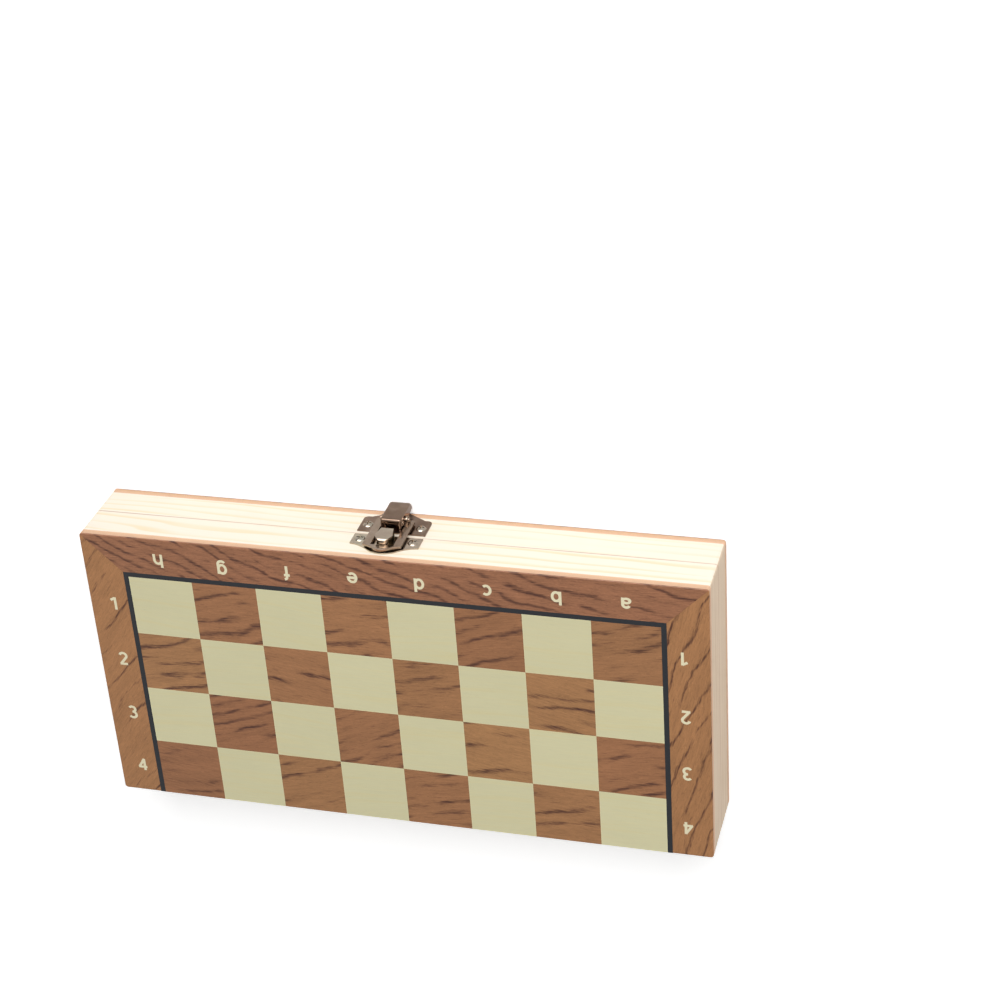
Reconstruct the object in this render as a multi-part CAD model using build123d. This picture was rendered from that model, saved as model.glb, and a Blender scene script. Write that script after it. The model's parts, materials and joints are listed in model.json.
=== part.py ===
"""Magnetic folding chess set, closed and lying flat.

Two shallow wooden cases are hinged together, and their backs make the board. The origin is the
centre of the lower back, Z is up, the latch is on the -Y side and the hinges are on the +Y side.
Every size is in millimetres.
"""

import os
from math import cos, radians, sin

from build123d import *

# Board
SQUARE = 25.6
FILES = 8
RANKS = 4
LINE_WIDTH = 2.0
BORDER_WIDTH = 15.6

# Back panel, from the outside inwards
VENEER = 0.5
CORE = 2.5
STEEL = 0.3
STEEL_EDGE = 1.2
STEEL_FIT = 0.1

# Case
RAIL_DEPTH = 14.0
RAIL_THICKNESS = 8.0
CORNER_RADIUS = 1.2
FOLD_GAP = 0.1

# Tray of dense foam
TRAY_HEIGHT = 13.0
TRAY_FLOOR = 0.6
TRAY_FIT = 0.3
TRAY_WALL = 5.0
SLOT_PITCH = 26.0
SLOT_FIT = 0.2
SLOT_END = 0.5
CHANNEL_WIDTH = 14.0

# Chess pieces
MAGNET_RADIUS = 4.0
MAGNET_THICKNESS = 3.0
MAGNET_FIT = 0.05
FELT_THICKNESS = 0.5
FELT_MARGIN = 0.5
FOOT_RIM = 1.6
FOOT_HEIGHT = 4.4
COLLAR_HEIGHT = 1.3

# Hinges
HINGE_INSET = 45.0
HINGE_LENGTH = 20.0
LEAF_WIDTH = 6.5
LEAF_THICKNESS = 0.5
LEAF_FIT = 0.05
KNUCKLE_RADIUS = 1.1
KNUCKLE_GAP = 0.15
KNUCKLES = 3
PIN_RADIUS = 0.5
PIN_FIT = 0.05
HINGE_SCREW_SPACING = 12.0
HINGE_SCREW_INSET = 3.9
HINGE_SCREW_HEAD = 1.3
HINGE_SCREW_SHANK = 0.6
HINGE_SCREW_LENGTH = 5.0

# Latch: x is along the case from the latch's middle, f is up from the parting line, h is outwards
LATCH_X = 2.3
PLATE_THICKNESS = 0.5
PLATE_HALF_WIDTH = 13.2
LEVER_PLATE_EDGE = -1.3
LEVER_PLATE_SHOULDER = -11.5
LEVER_PLATE_TIP = -16.0
LEVER_PLATE_CORNER = 1.7
HOOK_PLATE_EDGE = 1.0
HOOK_PLATE_SHOULDER = 7.7
HOOK_PLATE_TIP = 13.05

PIVOT_F = -3.9
PIVOT_H = 3.5
LINK_ARM = 3.6
LINK_ANGLE = 8.0
RIVET_RADIUS = 0.7
RIVET_FIT = 0.05
RIVET_HEAD_RADIUS = 0.9
RIVET_HEAD_HEIGHT = 0.5

LEVER_HALF_WIDTH = 4.0
LEVER_WALL = 0.7
LEVER_TOP = 6.1
LEVER_FRONT = -1.6
LEVER_BEND = -12.6
LEVER_TIP = -16.5
LEVER_TIP_H = 3.4
LEVER_ROUNDING = 0.8
LEVER_LIP = 1.7
LEVER_LIP_RADIUS = 1.0
FLANGE_BOTTOM = 1.5
EAR_RADIUS = 1.3
EAR_FRONT = 0.3
EAR_THICKNESS = 0.6
EAR_FIT = 0.15

LOOP_HALF_WIDTH = 7.4
LOOP_THICKNESS = 0.8
LOOP_LOW = 1.2
LOOP_SHOULDER = 10.0
LOOP_TIP = 13.1
LOOP_EAR_RADIUS = 1.4
LOOP_EAR_THICKNESS = 0.7
WINDOW_HALF_WIDTH = 4.4
WINDOW_FIT = 0.06

HOOK_WALL = 0.7
HOOK_TOP = 4.4
HOOK_ROLL_RADIUS = 1.6
HOOK_FRONT = 9.6
HOOK_BACK_HALF_WIDTH = 2.2
HOOK_HALF_WIDTH = 3.3
HOOK_CURL = 60.0

LATCH_SCREW_X = 10.25
LEVER_SCREW_F = -5.9
HOOK_SCREW_F = 4.3
LATCH_SCREW_HEAD = 2.05
LATCH_SCREW_DOME = 0.9
LATCH_SCREW_SHANK = 0.8
LATCH_SCREW_LENGTH = 6.5
SCREW_FIT = 0.05
CROSS_WIDTH = 0.5
CROSS_DEPTH = 0.35

# Worked out from the sizes above
PANEL = VENEER + CORE
HALF_THICKNESS = PANEL + RAIL_DEPTH
FRAME_WIDTH = LINE_WIDTH + BORDER_WIDTH
LENGTH = FILES * SQUARE + 2 * FRAME_WIDTH
DEPTH = RANKS * SQUARE + FRAME_WIDTH
LATCH_FACE = -DEPTH / 2
HINGE_AXIS_Y = DEPTH / 2
FOLD_FACE = HINGE_AXIS_Y - FOLD_GAP / 2
PLAY_X = FILES * SQUARE / 2
PLAY_Y = LATCH_FACE + FRAME_WIDTH
NOTCH_RADIUS = KNUCKLE_RADIUS + KNUCKLE_GAP
HINGE_XS = {"left": HINGE_INSET - LENGTH / 2, "right": LENGTH / 2 - HINGE_INSET}
LINK_F = PIVOT_F - LINK_ARM * cos(radians(LINK_ANGLE))
LINK_H = PIVOT_H - LINK_ARM * sin(radians(LINK_ANGLE))
WINDOW_FRONT = HOOK_FRONT + WINDOW_FIT
HOOK_ROLL_F = HOOK_FRONT - HOOK_ROLL_RADIUS
HOOK_ROLL_H = HOOK_TOP - HOOK_ROLL_RADIUS

LATCH_PLANE = Plane(origin=(LATCH_X, LATCH_FACE, HALF_THICKNESS), x_dir=(1, 0, 0), z_dir=(0, -1, 0))
LATCH_SIDE = Plane(origin=(LATCH_X, LATCH_FACE, HALF_THICKNESS), x_dir=(0, 0, 1), z_dir=(1, 0, 0))


def group(solids):
    """Several separate solids in one named piece."""
    return Compound(children=[solid for part in solids for solid in part.solids()])


def prism(points, bottom, top):
    """A flat plate with a straight-sided outline, between two heights."""
    return Pos(0, 0, bottom) * extrude(make_face(Polyline(*points, close=True)), top - bottom)


def block(x0, x1, y0, y1, z0, z1):
    """A rectangular block between two corners."""
    middle = Pos((x0 + x1) / 2, (y0 + y1) / 2, (z0 + z1) / 2)
    return middle * Box(x1 - x0, y1 - y0, z1 - z0)


def on_side(side, shape):
    """A piece drawn in the lower half stays there, or is mirrored into the upper half."""
    if side == "lower":
        return shape
    return mirror(shape, about=Plane.XY.offset(HALF_THICKNESS))


def rounded_case():
    """The outer form of one half, with its four upright corners sanded round."""
    case = block(-LENGTH / 2, LENGTH / 2, LATCH_FACE, FOLD_FACE, 0, HALF_THICKNESS)
    return fillet(case.edges().filter_by(Axis.Z), CORNER_RADIUS)


CASE = rounded_case()


def u_strips(inset, width):
    """Plan outlines of three mitred strips along the latch side and both ends of the board."""
    outer_x, outer_y = LENGTH / 2 - inset, LATCH_FACE + inset
    inner_x, inner_y = outer_x - width, outer_y + width
    front = [(-outer_x, outer_y), (outer_x, outer_y), (inner_x, inner_y), (-inner_x, inner_y)]
    right = [(outer_x, outer_y), (outer_x, FOLD_FACE), (inner_x, FOLD_FACE), (inner_x, inner_y)]
    left = [(-x, y) for x, y in right]
    return [front, right, left]


def border_veneer():
    """Three mitred strips of dark veneer round the playing field."""
    return group([prism(outline, 0, VENEER) & CASE for outline in u_strips(0, BORDER_WIDTH)])


def ring_line():
    """The black stringing between the border and the squares, in three mitred strips."""
    return group([prism(outline, 0, VENEER) for outline in u_strips(BORDER_WIDTH, LINE_WIDTH)])


def squares(side, dark):
    """The dark or the light veneer squares of one half; the corner at -X on the upper latch side is dark."""
    first = 0 if side == "upper" else 1
    parity = first if dark else 1 - first
    cells = []
    for row in range(RANKS):
        for column in range(FILES):
            if (row + column) % 2 == parity:
                x0 = -PLAY_X + column * SQUARE
                y0 = PLAY_Y + row * SQUARE
                cells.append(block(x0, x0 + SQUARE, y0, min(y0 + SQUARE, FOLD_FACE), 0, VENEER))
    return group(cells)


def steel_block(fit):
    """The space of the steel sheet, just under the veneer of the playing field."""
    edge = STEEL_EDGE - fit
    return block(-PLAY_X + edge, PLAY_X - edge, PLAY_Y + edge, FOLD_FACE - edge, VENEER, VENEER + STEEL)


def board_core():
    """The plywood panel behind the veneer, with a shallow pocket for the steel sheet."""
    panel = block(-LENGTH / 2, LENGTH / 2, LATCH_FACE, FOLD_FACE, VENEER, PANEL) & CASE
    return panel - steel_block(STEEL_FIT)


def rail_outlines():
    """Plan outlines of the four mitred rails of one half."""
    x, y0, y1 = LENGTH / 2, LATCH_FACE, FOLD_FACE
    t = RAIL_THICKNESS
    return {
        "latch_rail": [(-x, y0), (x, y0), (x - t, y0 + t), (-x + t, y0 + t)],
        "hinge_rail": [(-x, y1), (x, y1), (x - t, y1 - t), (-x + t, y1 - t)],
        "left_rail": [(-x, y0), (-x + t, y0 + t), (-x + t, y1 - t), (-x, y1)],
        "right_rail": [(x, y0), (x - t, y0 + t), (x - t, y1 - t), (x, y1)],
    }


def hinge_screw_spots():
    """Plan places of the small countersunk screws in the hinge leaves of one half."""
    y = HINGE_AXIS_Y - HINGE_SCREW_INSET
    pair = centred(2, HINGE_SCREW_SPACING)
    return [Pos(x + dx, y, HALF_THICKNESS) for x in HINGE_XS.values() for dx in pair]


def centred(count, pitch):
    """Evenly spaced places about the middle."""
    return [(i - (count - 1) / 2) * pitch for i in range(count)]


def latch_screw_spots(f):
    """Places of a pair of latch screws at height f, on the case's face."""
    return [LATCH_PLANE * Pos(side * LATCH_SCREW_X, f, 0) for side in (-1, 1)]


def hinge_pocket(x):
    """The shallow mortise for a leaf and the round notch for the knuckles, in one hinge rail."""
    half = HINGE_LENGTH / 2 + LEAF_FIT
    leaf_back = HINGE_AXIS_Y - LEAF_WIDTH - LEAF_FIT
    floor = HALF_THICKNESS - LEAF_THICKNESS
    mortise = block(x - half, x + half, leaf_back, HINGE_AXIS_Y, floor, HALF_THICKNESS)
    return mortise + knuckle_rod(x, NOTCH_RADIUS, 2 * half)


def knuckle_rod(x, radius, length):
    """A round bar along the fold axis, for knuckles, notches, bores and pins."""
    return Pos(x, HINGE_AXIS_Y, HALF_THICKNESS) * Rot(0, 90, 0) * Cylinder(radius, length)


def rail(side, name, outline):
    """One mitred pine rail of a half, with its mortises, notches and pilot holes."""
    body = prism(outline, PANEL, HALF_THICKNESS) & CASE
    if name == "hinge_rail":
        for x in HINGE_XS.values():
            body -= hinge_pocket(x)
        for spot in hinge_screw_spots():
            body -= spot * hinge_screw_form(SCREW_FIT)
    body = on_side(side, body)
    if name == "latch_rail":
        depth = LATCH_SCREW_LENGTH - PLATE_THICKNESS + SCREW_FIT
        for spot in latch_screw_spots(LEVER_SCREW_F if side == "lower" else HOOK_SCREW_F):
            body -= spot * Pos(0, 0, -depth / 2) * Cylinder(LATCH_SCREW_SHANK + SCREW_FIT, depth)
    return body


class Figure:
    """The sizes of one kind of chess piece, and how many of them a side has."""

    def __init__(self, head, height, base_radius, neck_radius, neck_height, collar_radius, head_radius):
        self.head = head
        self.height = height
        self.base_radius = base_radius
        self.neck_radius = neck_radius
        self.neck_height = neck_height
        self.collar_radius = collar_radius
        self.head_radius = head_radius

    @property
    def head_base(self):
        """Height of the collar's top, where the head begins."""
        return self.neck_height + COLLAR_HEIGHT

    @property
    def body_radius(self):
        """The widest radius above the foot."""
        return max(self.collar_radius, self.head_radius, self.base_radius - FOOT_RIM)

    @property
    def axis_depth(self):
        """How far the lying piece's axis is behind the board's face, resting on its slot's floor."""
        return PANEL + TRAY_FLOOR + SLOT_FIT + self.base_radius


def turned(figure):
    """The turned foot, hollow stem and collar of a piece, standing on the origin."""
    foot, shoulder = figure.base_radius, figure.base_radius - FOOT_RIM
    neck, low, high = figure.neck_radius, FOOT_HEIGHT, figure.neck_height
    rim = FOOT_HEIGHT - FOOT_RIM
    bulge = shoulder + FOOT_RIM * cos(radians(45))
    waist = (neck + (shoulder - neck) * 0.2, low + (high - low) * 0.45)
    collar = (figure.collar_radius, high + COLLAR_HEIGHT / 2)
    outline = [
        Line((0, 0), (foot, 0)),
        Line((foot, 0), (foot, rim)),
        ThreePointArc((foot, rim), (bulge, rim + FOOT_RIM * sin(radians(45))), (shoulder, low)),
        ThreePointArc((shoulder, low), waist, (neck, high)),
        ThreePointArc((neck, high), collar, (neck, figure.head_base)),
        Line((neck, figure.head_base), (0, figure.head_base)),
        Line((0, figure.head_base), (0, 0)),
    ]
    return revolve(Plane.XZ * make_face(Curve() + outline), Axis.Z)


def flared(figure, top_radius, top):
    """A cup that widens upwards from the collar."""
    neck, low = figure.neck_radius, figure.head_base
    hollow = 0.3
    outline = [
        Line((0, low), (neck, low)),
        ThreePointArc((neck, low), ((neck + top_radius) / 2 - hollow, (low + top) / 2), (top_radius, top)),
        Line((top_radius, top), (0, top)),
        Line((0, top), (0, low)),
    ]
    return revolve(Plane.XZ * make_face(Curve() + outline), Axis.Z)


def king_head(figure):
    """A flared crown with a low dome and an upright cross."""
    crown_radius, dome, cross = figure.head_radius, 1.6, 5.0
    arm, bar = 1.3, 3.8
    crown_top = figure.height - cross - dome
    crown = flared(figure, crown_radius, crown_top)
    sphere_radius = (crown_radius**2 + dome**2) / (2 * dome)
    ball = Pos(0, 0, crown_top + dome - sphere_radius) * Sphere(sphere_radius)
    r, a, b = crown_radius, arm / 2, bar / 2
    cap = ball & block(-r, r, -r, r, crown_top, crown_top + dome)
    post = block(-a, a, -a, a, crown_top + dome / 2, figure.height)
    cross_z = figure.height - 0.42 * cross
    return crown + cap + post + block(-b, b, -a, a, cross_z - a, cross_z + a)


def queen_head(figure):
    """A flared coronet, scalloped all round, with a small ball in the middle."""
    crown_radius, scallop, ball, points = figure.head_radius, 1.15, 1.7, 8
    crown_top = figure.height - 1.9
    crown = flared(figure, crown_radius, crown_top)
    for turn in range(points):
        crown -= Rot(0, 0, 360 / points * turn) * Pos(crown_radius, 0, crown_top + 0.3) * Sphere(scallop)
    return crown + Pos(0, 0, figure.height - ball) * Sphere(ball)


def bishop_head(figure):
    """A pointed egg with one slanting cut, and a bead on top."""
    width, bead, cut = figure.head_radius, 1.0, 0.8
    low, high = figure.head_base, figure.height - 1.2
    lower = ThreePointArc((figure.neck_radius, low), (width, low + 3.6), (2.1, high - 2.0))
    upper = ThreePointArc((2.1, high - 2.0), (1.1, high - 0.7), (0, high))
    egg = revolve(Plane.XZ * make_face(Curve() + [
        Line((0, low), (figure.neck_radius, low)), lower, upper, Line((0, high), (0, low)),
    ]), Axis.Z)
    slot = Pos(2.4, 0, high - 2.6) * Rot(0, -35, 0) * Box(3.6, 2 * width, cut)
    return egg - slot + Pos(0, 0, figure.height - bead) * Sphere(bead)


def knight_head(figure):
    """A horse's head in profile, facing +X."""
    low = figure.head_base
    nose = figure.head_radius - 0.1
    half_thickness = 2.7
    front = [
        Line((0.2, 10.9), (4.4, 8.0)),
        ThreePointArc((4.4, 8.0), (nose, 6.6), (4.2, 5.4)),
        Line((4.2, 5.4), (1.9, 5.9)),
        ThreePointArc((1.9, 5.9), (1.6, 3.6), (3.3, 1.6)),
        Line((3.3, 1.6), (3.4, -0.4)),
    ]
    back = [
        Line((3.4, -0.4), (-3.6, -0.4)),
        Line((-3.6, -0.4), (-3.8, 2.0)),
        ThreePointArc((-3.8, 2.0), (-4.5, 6.6), (-2.0, 11.0)),
        Line((-2.0, 11.0), (-1.1, 13.1)),
        Line((-1.1, 13.1), (0.2, 10.9)),
    ]
    profile = Plane.XZ * Pos(0, low, 0) * make_face(Curve() + front + back)
    cheek = extrude(profile, half_thickness, taper=15)
    return cheek + mirror(cheek, about=Plane.XZ)


def rook_head(figure):
    """A round tower top with a hollow and four notches."""
    radius, wall, depth, notch = figure.head_radius, 1.5, 2.6, 1.7
    low, high = figure.head_base, figure.height
    tower = flared(figure, radius, low + 2.4)
    tower += Pos(0, 0, (low + 2.4 + high) / 2) * Cylinder(radius, high - low - 2.4)
    tower -= Pos(0, 0, high - depth / 2) * Cylinder(radius - wall, depth)
    for turn in (0, 90):
        tower -= Rot(0, 0, turn) * Pos(0, 0, high - depth / 4) * Box(3 * radius, notch, depth / 2)
    return tower


def pawn_head(figure):
    """A plain ball."""
    ball = figure.head_radius
    return Pos(0, 0, figure.height - ball) * Sphere(ball)


FIGURES = {
    "king": Figure(king_head, 45.0, 6.2, 2.5, 27.0, 4.2, 4.3),
    "queen": Figure(queen_head, 40.0, 6.2, 2.4, 25.0, 4.1, 4.4),
    "bishops": Figure(bishop_head, 34.0, 5.8, 2.1, 19.5, 3.7, 3.7),
    "knights": Figure(knight_head, 31.0, 5.8, 3.6, 16.6, 4.7, 5.2),
    "rooks": Figure(rook_head, 27.0, 5.8, 2.9, 15.8, 4.2, 4.4),
    "pawns": Figure(pawn_head, 24.0, 5.5, 2.0, 16.4, 3.6, 3.5),
}
BACK_ROW = ["rooks", "knights", "bishops", "queen", "king", "bishops", "knights", "rooks"]


def figure_body(figure):
    """One piece, standing up, with the hole for its magnet."""
    radius, depth = MAGNET_RADIUS + MAGNET_FIT, MAGNET_THICKNESS + MAGNET_FIT
    return turned(figure) + figure.head(figure) - Pos(0, 0, depth / 2) * Cylinder(radius, depth)


# Rows of the tray, from the latch side: the pawns' heads, the finger channel, the king's cross
TRAY_FRONT = LATCH_FACE + RAIL_THICKNESS + TRAY_FIT
TRAY_BACK = FOLD_FACE - RAIL_THICKNESS - TRAY_FIT
TRAY_TOP = PANEL + TRAY_HEIGHT
CHANNEL_FRONT = TRAY_FRONT + TRAY_WALL + FIGURES["pawns"].height + SLOT_END
CHANNEL_BACK = CHANNEL_FRONT + CHANNEL_WIDTH


def places():
    """Each piece's kind, and how a standing piece is laid in its slot."""
    for x, kind in zip(centred(FILES, SLOT_PITCH), BACK_ROW):
        pawn, officer = FIGURES["pawns"], FIGURES[kind]
        yield "pawns", Pos(x, CHANNEL_FRONT, pawn.axis_depth) * Rot(90, 0, 0)
        yield kind, Pos(x, CHANNEL_BACK, officer.axis_depth) * Rot(-90, 0, 0)


def slot(figure):
    """The cut for one lying piece: deep at its foot, shallower along its stem and head."""
    cut = None
    for radius, length in (
        (figure.base_radius, FOOT_HEIGHT),
        (figure.body_radius, figure.height + SLOT_END - SLOT_FIT),
    ):
        wide = radius + SLOT_FIT
        long = length + SLOT_FIT
        trough = Pos(0, 0, long / 2) * Cylinder(wide, long)
        trough += block(-wide, wide, -HALF_THICKNESS, 0, 0, long)
        cut = trough if cut is None else cut + trough
    return cut


def foam_tray():
    """The foam tray of one half: one slot for each piece, and a channel for the fingers."""
    floor = PANEL + TRAY_FLOOR
    x = LENGTH / 2 - RAIL_THICKNESS - TRAY_FIT
    tray = block(-x, x, TRAY_FRONT, TRAY_BACK, PANEL, TRAY_TOP)
    tray -= block(-x + TRAY_WALL, x - TRAY_WALL, CHANNEL_FRONT, CHANNEL_BACK, floor, TRAY_TOP)
    for kind, place in places():
        open_side = Rot(0, 0, 180) if kind == "pawns" else Rot(0, 0, 0)
        tray -= place * open_side * slot(FIGURES[kind])
    return tray


def figures_of(kind):
    """All the pieces of one kind on one side of the game."""
    shape = figure_body(FIGURES[kind])
    return group([place * shape for name, place in places() if name == kind])


def piece_magnets():
    """The round magnets in the feet of one side's pieces."""
    disc = Pos(0, 0, MAGNET_THICKNESS / 2) * Cylinder(MAGNET_RADIUS, MAGNET_THICKNESS)
    return group([place * disc for _, place in places()])


def piece_felts():
    """The felt discs under one side's pieces."""
    discs = []
    for kind, place in places():
        radius = FIGURES[kind].base_radius - FELT_MARGIN
        discs.append(place * Pos(0, 0, -FELT_THICKNESS / 2) * Cylinder(radius, FELT_THICKNESS))
    return group(discs)


def hinge_leaf(x, inner):
    """One leaf in the lower half; the inner knuckle belongs to one leaf and the outer two to the other."""
    pitch = HINGE_LENGTH / KNUCKLES
    back = HINGE_AXIS_Y - LEAF_WIDTH
    plate_low = HALF_THICKNESS - LEAF_THICKNESS
    leaf = block(x - HINGE_LENGTH / 2, x + HINGE_LENGTH / 2, back, HINGE_AXIS_Y, plate_low, HALF_THICKNESS)
    knuckles = []
    for number, offset in enumerate(centred(KNUCKLES, pitch)):
        mine = (number % 2 == 1) == inner
        if mine:
            knuckles.append(knuckle_rod(x + offset, KNUCKLE_RADIUS, pitch - KNUCKLE_GAP))
        else:
            leaf -= knuckle_rod(x + offset, NOTCH_RADIUS, pitch + KNUCKLE_GAP)
    for knuckle in knuckles:
        leaf += knuckle
    leaf -= knuckle_rod(x, PIN_RADIUS + PIN_FIT, 2 * HINGE_LENGTH)
    for spot in hinge_screw_spots():
        leaf -= spot * hinge_screw_form(SCREW_FIT)
    return leaf


def hinge_screw_form(fit):
    """A small countersunk screw, its flat head level with the origin."""
    sink = HINGE_SCREW_HEAD - HINGE_SCREW_SHANK
    head = Pos(0, 0, -sink / 2) * Cone(HINGE_SCREW_SHANK + fit, HINGE_SCREW_HEAD + fit, sink)
    length = HINGE_SCREW_LENGTH + 2 * fit
    return head + Pos(0, 0, -length / 2) * Cylinder(HINGE_SCREW_SHANK + fit, length)


def cross_recess(width, reach, depth):
    """The cross of a screw head, cut down from the origin."""
    arms = Box(2 * reach, width, depth) + Box(width, 2 * reach, depth)
    return Pos(0, 0, -depth / 2) * arms


def hinge_screws():
    """The countersunk screws of the hinge leaves in one half."""
    screw = Pos(0, 0, -SCREW_FIT) * hinge_screw_form(0)
    screw -= Pos(0, 0, -SCREW_FIT) * cross_recess(CROSS_WIDTH / 2, HINGE_SCREW_HEAD * 0.7, CROSS_DEPTH)
    return group([spot * screw for spot in hinge_screw_spots()])


def mirrored_face(right_side):
    """A flat face from the edges of its right half, in order from the lower middle to the upper one."""
    edges = Curve() + right_side
    return make_face(edges + mirror(edges, about=Plane.YZ))


def shoulder_curve(x, shoulder, tip, reach):
    """The ogee from a shoulder to the pointed middle: first hollow, then full."""
    way = 1 if tip > shoulder else -1
    turn = (0.42 * x, shoulder + 0.62 * (tip - shoulder))
    start = (x - reach, shoulder)
    hollow = (0.66 * x, shoulder + 0.2 * (tip - shoulder))
    full = (0.2 * x, tip - way * 0.08 * abs(tip - shoulder))
    return [ThreePointArc(start, hollow, turn), ThreePointArc(turn, full, (0, tip))]


def latch_holes(f):
    """Clearance holes for a pair of latch screws."""
    hole = Pos(0, 0, PLATE_THICKNESS / 2) * Cylinder(LATCH_SCREW_SHANK + 3 * SCREW_FIT, 2 * PLATE_THICKNESS)
    return [spot * hole for spot in latch_screw_spots(f)]


def side_profile(edges, half_width):
    """A form with a constant outline in the latch's side view."""
    return extrude(LATCH_SIDE * make_face(Curve() + edges), half_width, both=True)


def polygon_edges(points):
    """Straight edges through a closed ring of points."""
    return [Line(a, b) for a, b in zip(points, points[1:] + points[:1])]


def cross_bar(f, h, radius, x0, x1):
    """A round bar across the latch, for pins and their holes."""
    return LATCH_SIDE * Pos(f, h, (x0 + x1) / 2) * Cylinder(radius, x1 - x0)


def side_strip(edges, x0, x1):
    """A thin upright tab in the latch, between two places across it."""
    return Pos(x0, 0, 0) * extrude(LATCH_SIDE * make_face(Curve() + edges), x1 - x0)


def ear(f, h, radius, front, low, x0, x1):
    """A round-topped ear on a post that reaches less or as far forward, and its twin on the other side."""
    post = polygon_edges([(f - radius, low), (f + front, low), (f + front, h), (f - radius, h)])
    both = None
    for a, b in ((x0, x1), (-x1, -x0)):
        one = side_strip(post, a, b) + cross_bar(f, h, radius, a, b)
        both = one if both is None else both + one
    return both


EAR_OUTER = LEVER_HALF_WIDTH - LEVER_WALL - EAR_FIT


def latch_lever_plate():
    """The plate on the lower half, with two ears that carry the lever's pivot."""
    x, edge, shoulder = PLATE_HALF_WIDTH, LEVER_PLATE_EDGE, LEVER_PLATE_SHOULDER
    r = LEVER_PLATE_CORNER
    reach = 3.0
    bend = r * (1 - cos(radians(45)))
    outline = [
        Line((0, edge), (x, edge)),
        Line((x, edge), (x, shoulder + r)),
        ThreePointArc((x, shoulder + r), (x - bend, shoulder + bend), (x - r, shoulder)),
        Line((x - r, shoulder), (x - reach, shoulder)),
    ]
    outline += shoulder_curve(x, shoulder, LEVER_PLATE_TIP, reach)
    plate = extrude(LATCH_PLANE * mirrored_face(outline), PLATE_THICKNESS)
    plate += ear(PIVOT_F, PIVOT_H, EAR_RADIUS, EAR_FRONT, 0, EAR_OUTER - EAR_THICKNESS, EAR_OUTER)
    for hole in latch_holes(LEVER_SCREW_F):
        plate -= hole
    return plate - cross_bar(PIVOT_F, PIVOT_H, RIVET_RADIUS + RIVET_FIT, -x, x)


def latch_hook_plate():
    """The plate on the upper half, with a tongue rolled up into the hook."""
    x, edge, shoulder = PLATE_HALF_WIDTH, HOOK_PLATE_EDGE, HOOK_PLATE_SHOULDER
    reach, rise = 2.0, 0.3
    outline = [
        Line((0, edge), (x, edge)),
        Line((x, edge), (x, shoulder)),
        Line((x, shoulder), (x - reach, shoulder + rise)),
    ]
    outline += shoulder_curve(x, shoulder + rise, HOOK_PLATE_TIP, reach)
    plate = extrude(LATCH_PLANE * mirrored_face(outline), PLATE_THICKNESS)
    for hole in latch_holes(HOOK_SCREW_F):
        plate -= hole
    return plate + hook()


def hook():
    """The rolled tongue, narrower at its root and round at its nose."""
    f, h, outer, wall = HOOK_ROLL_F, HOOK_ROLL_H, HOOK_ROLL_RADIUS, HOOK_WALL
    inner = outer - wall
    root, bend = HOOK_PLATE_EDGE, 0.9
    curl = radians(-HOOK_CURL)
    corner = bend * (1 - cos(radians(45)))
    inner_bend = bend - wall + 0.2
    inner_corner = inner_bend * (1 - cos(radians(45)))
    low = PLATE_THICKNESS / 2
    skin = [
        Line((root, low), (root, HOOK_TOP - bend)),
        ThreePointArc((root, HOOK_TOP - bend), (root + corner, HOOK_TOP - corner), (root + bend, HOOK_TOP)),
        Line((root + bend, HOOK_TOP), (f, HOOK_TOP)),
        ThreePointArc((f, HOOK_TOP), (f + outer, h), (f + outer * cos(curl), h + outer * sin(curl))),
        Line((f + outer * cos(curl), h + outer * sin(curl)), (f + inner * cos(curl), h + inner * sin(curl))),
        ThreePointArc((f + inner * cos(curl), h + inner * sin(curl)), (f + inner, h), (f, HOOK_TOP - wall)),
        Line((f, HOOK_TOP - wall), (root + wall + inner_bend, HOOK_TOP - wall)),
        ThreePointArc(
            (root + wall + inner_bend, HOOK_TOP - wall),
            (root + wall + inner_corner, HOOK_TOP - wall - inner_corner),
            (root + wall, HOOK_TOP - wall - inner_bend),
        ),
        Line((root + wall, HOOK_TOP - wall - inner_bend), (root + wall, low)),
        Line((root + wall, low), (root, low)),
    ]
    strip = side_profile(skin, HOOK_HALF_WIDTH)
    waist = HOOK_FRONT - HOOK_HALF_WIDTH
    plan = [
        Line((0, root), (HOOK_BACK_HALF_WIDTH, root)),
        Line((HOOK_BACK_HALF_WIDTH, root), (HOOK_HALF_WIDTH, waist)),
        ThreePointArc(
            (HOOK_HALF_WIDTH, waist),
            (HOOK_HALF_WIDTH * cos(radians(45)), waist + HOOK_HALF_WIDTH * sin(radians(45))),
            (0, HOOK_FRONT),
        ),
    ]
    return strip & extrude(LATCH_PLANE * mirrored_face(plan), HOOK_TOP)


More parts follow.
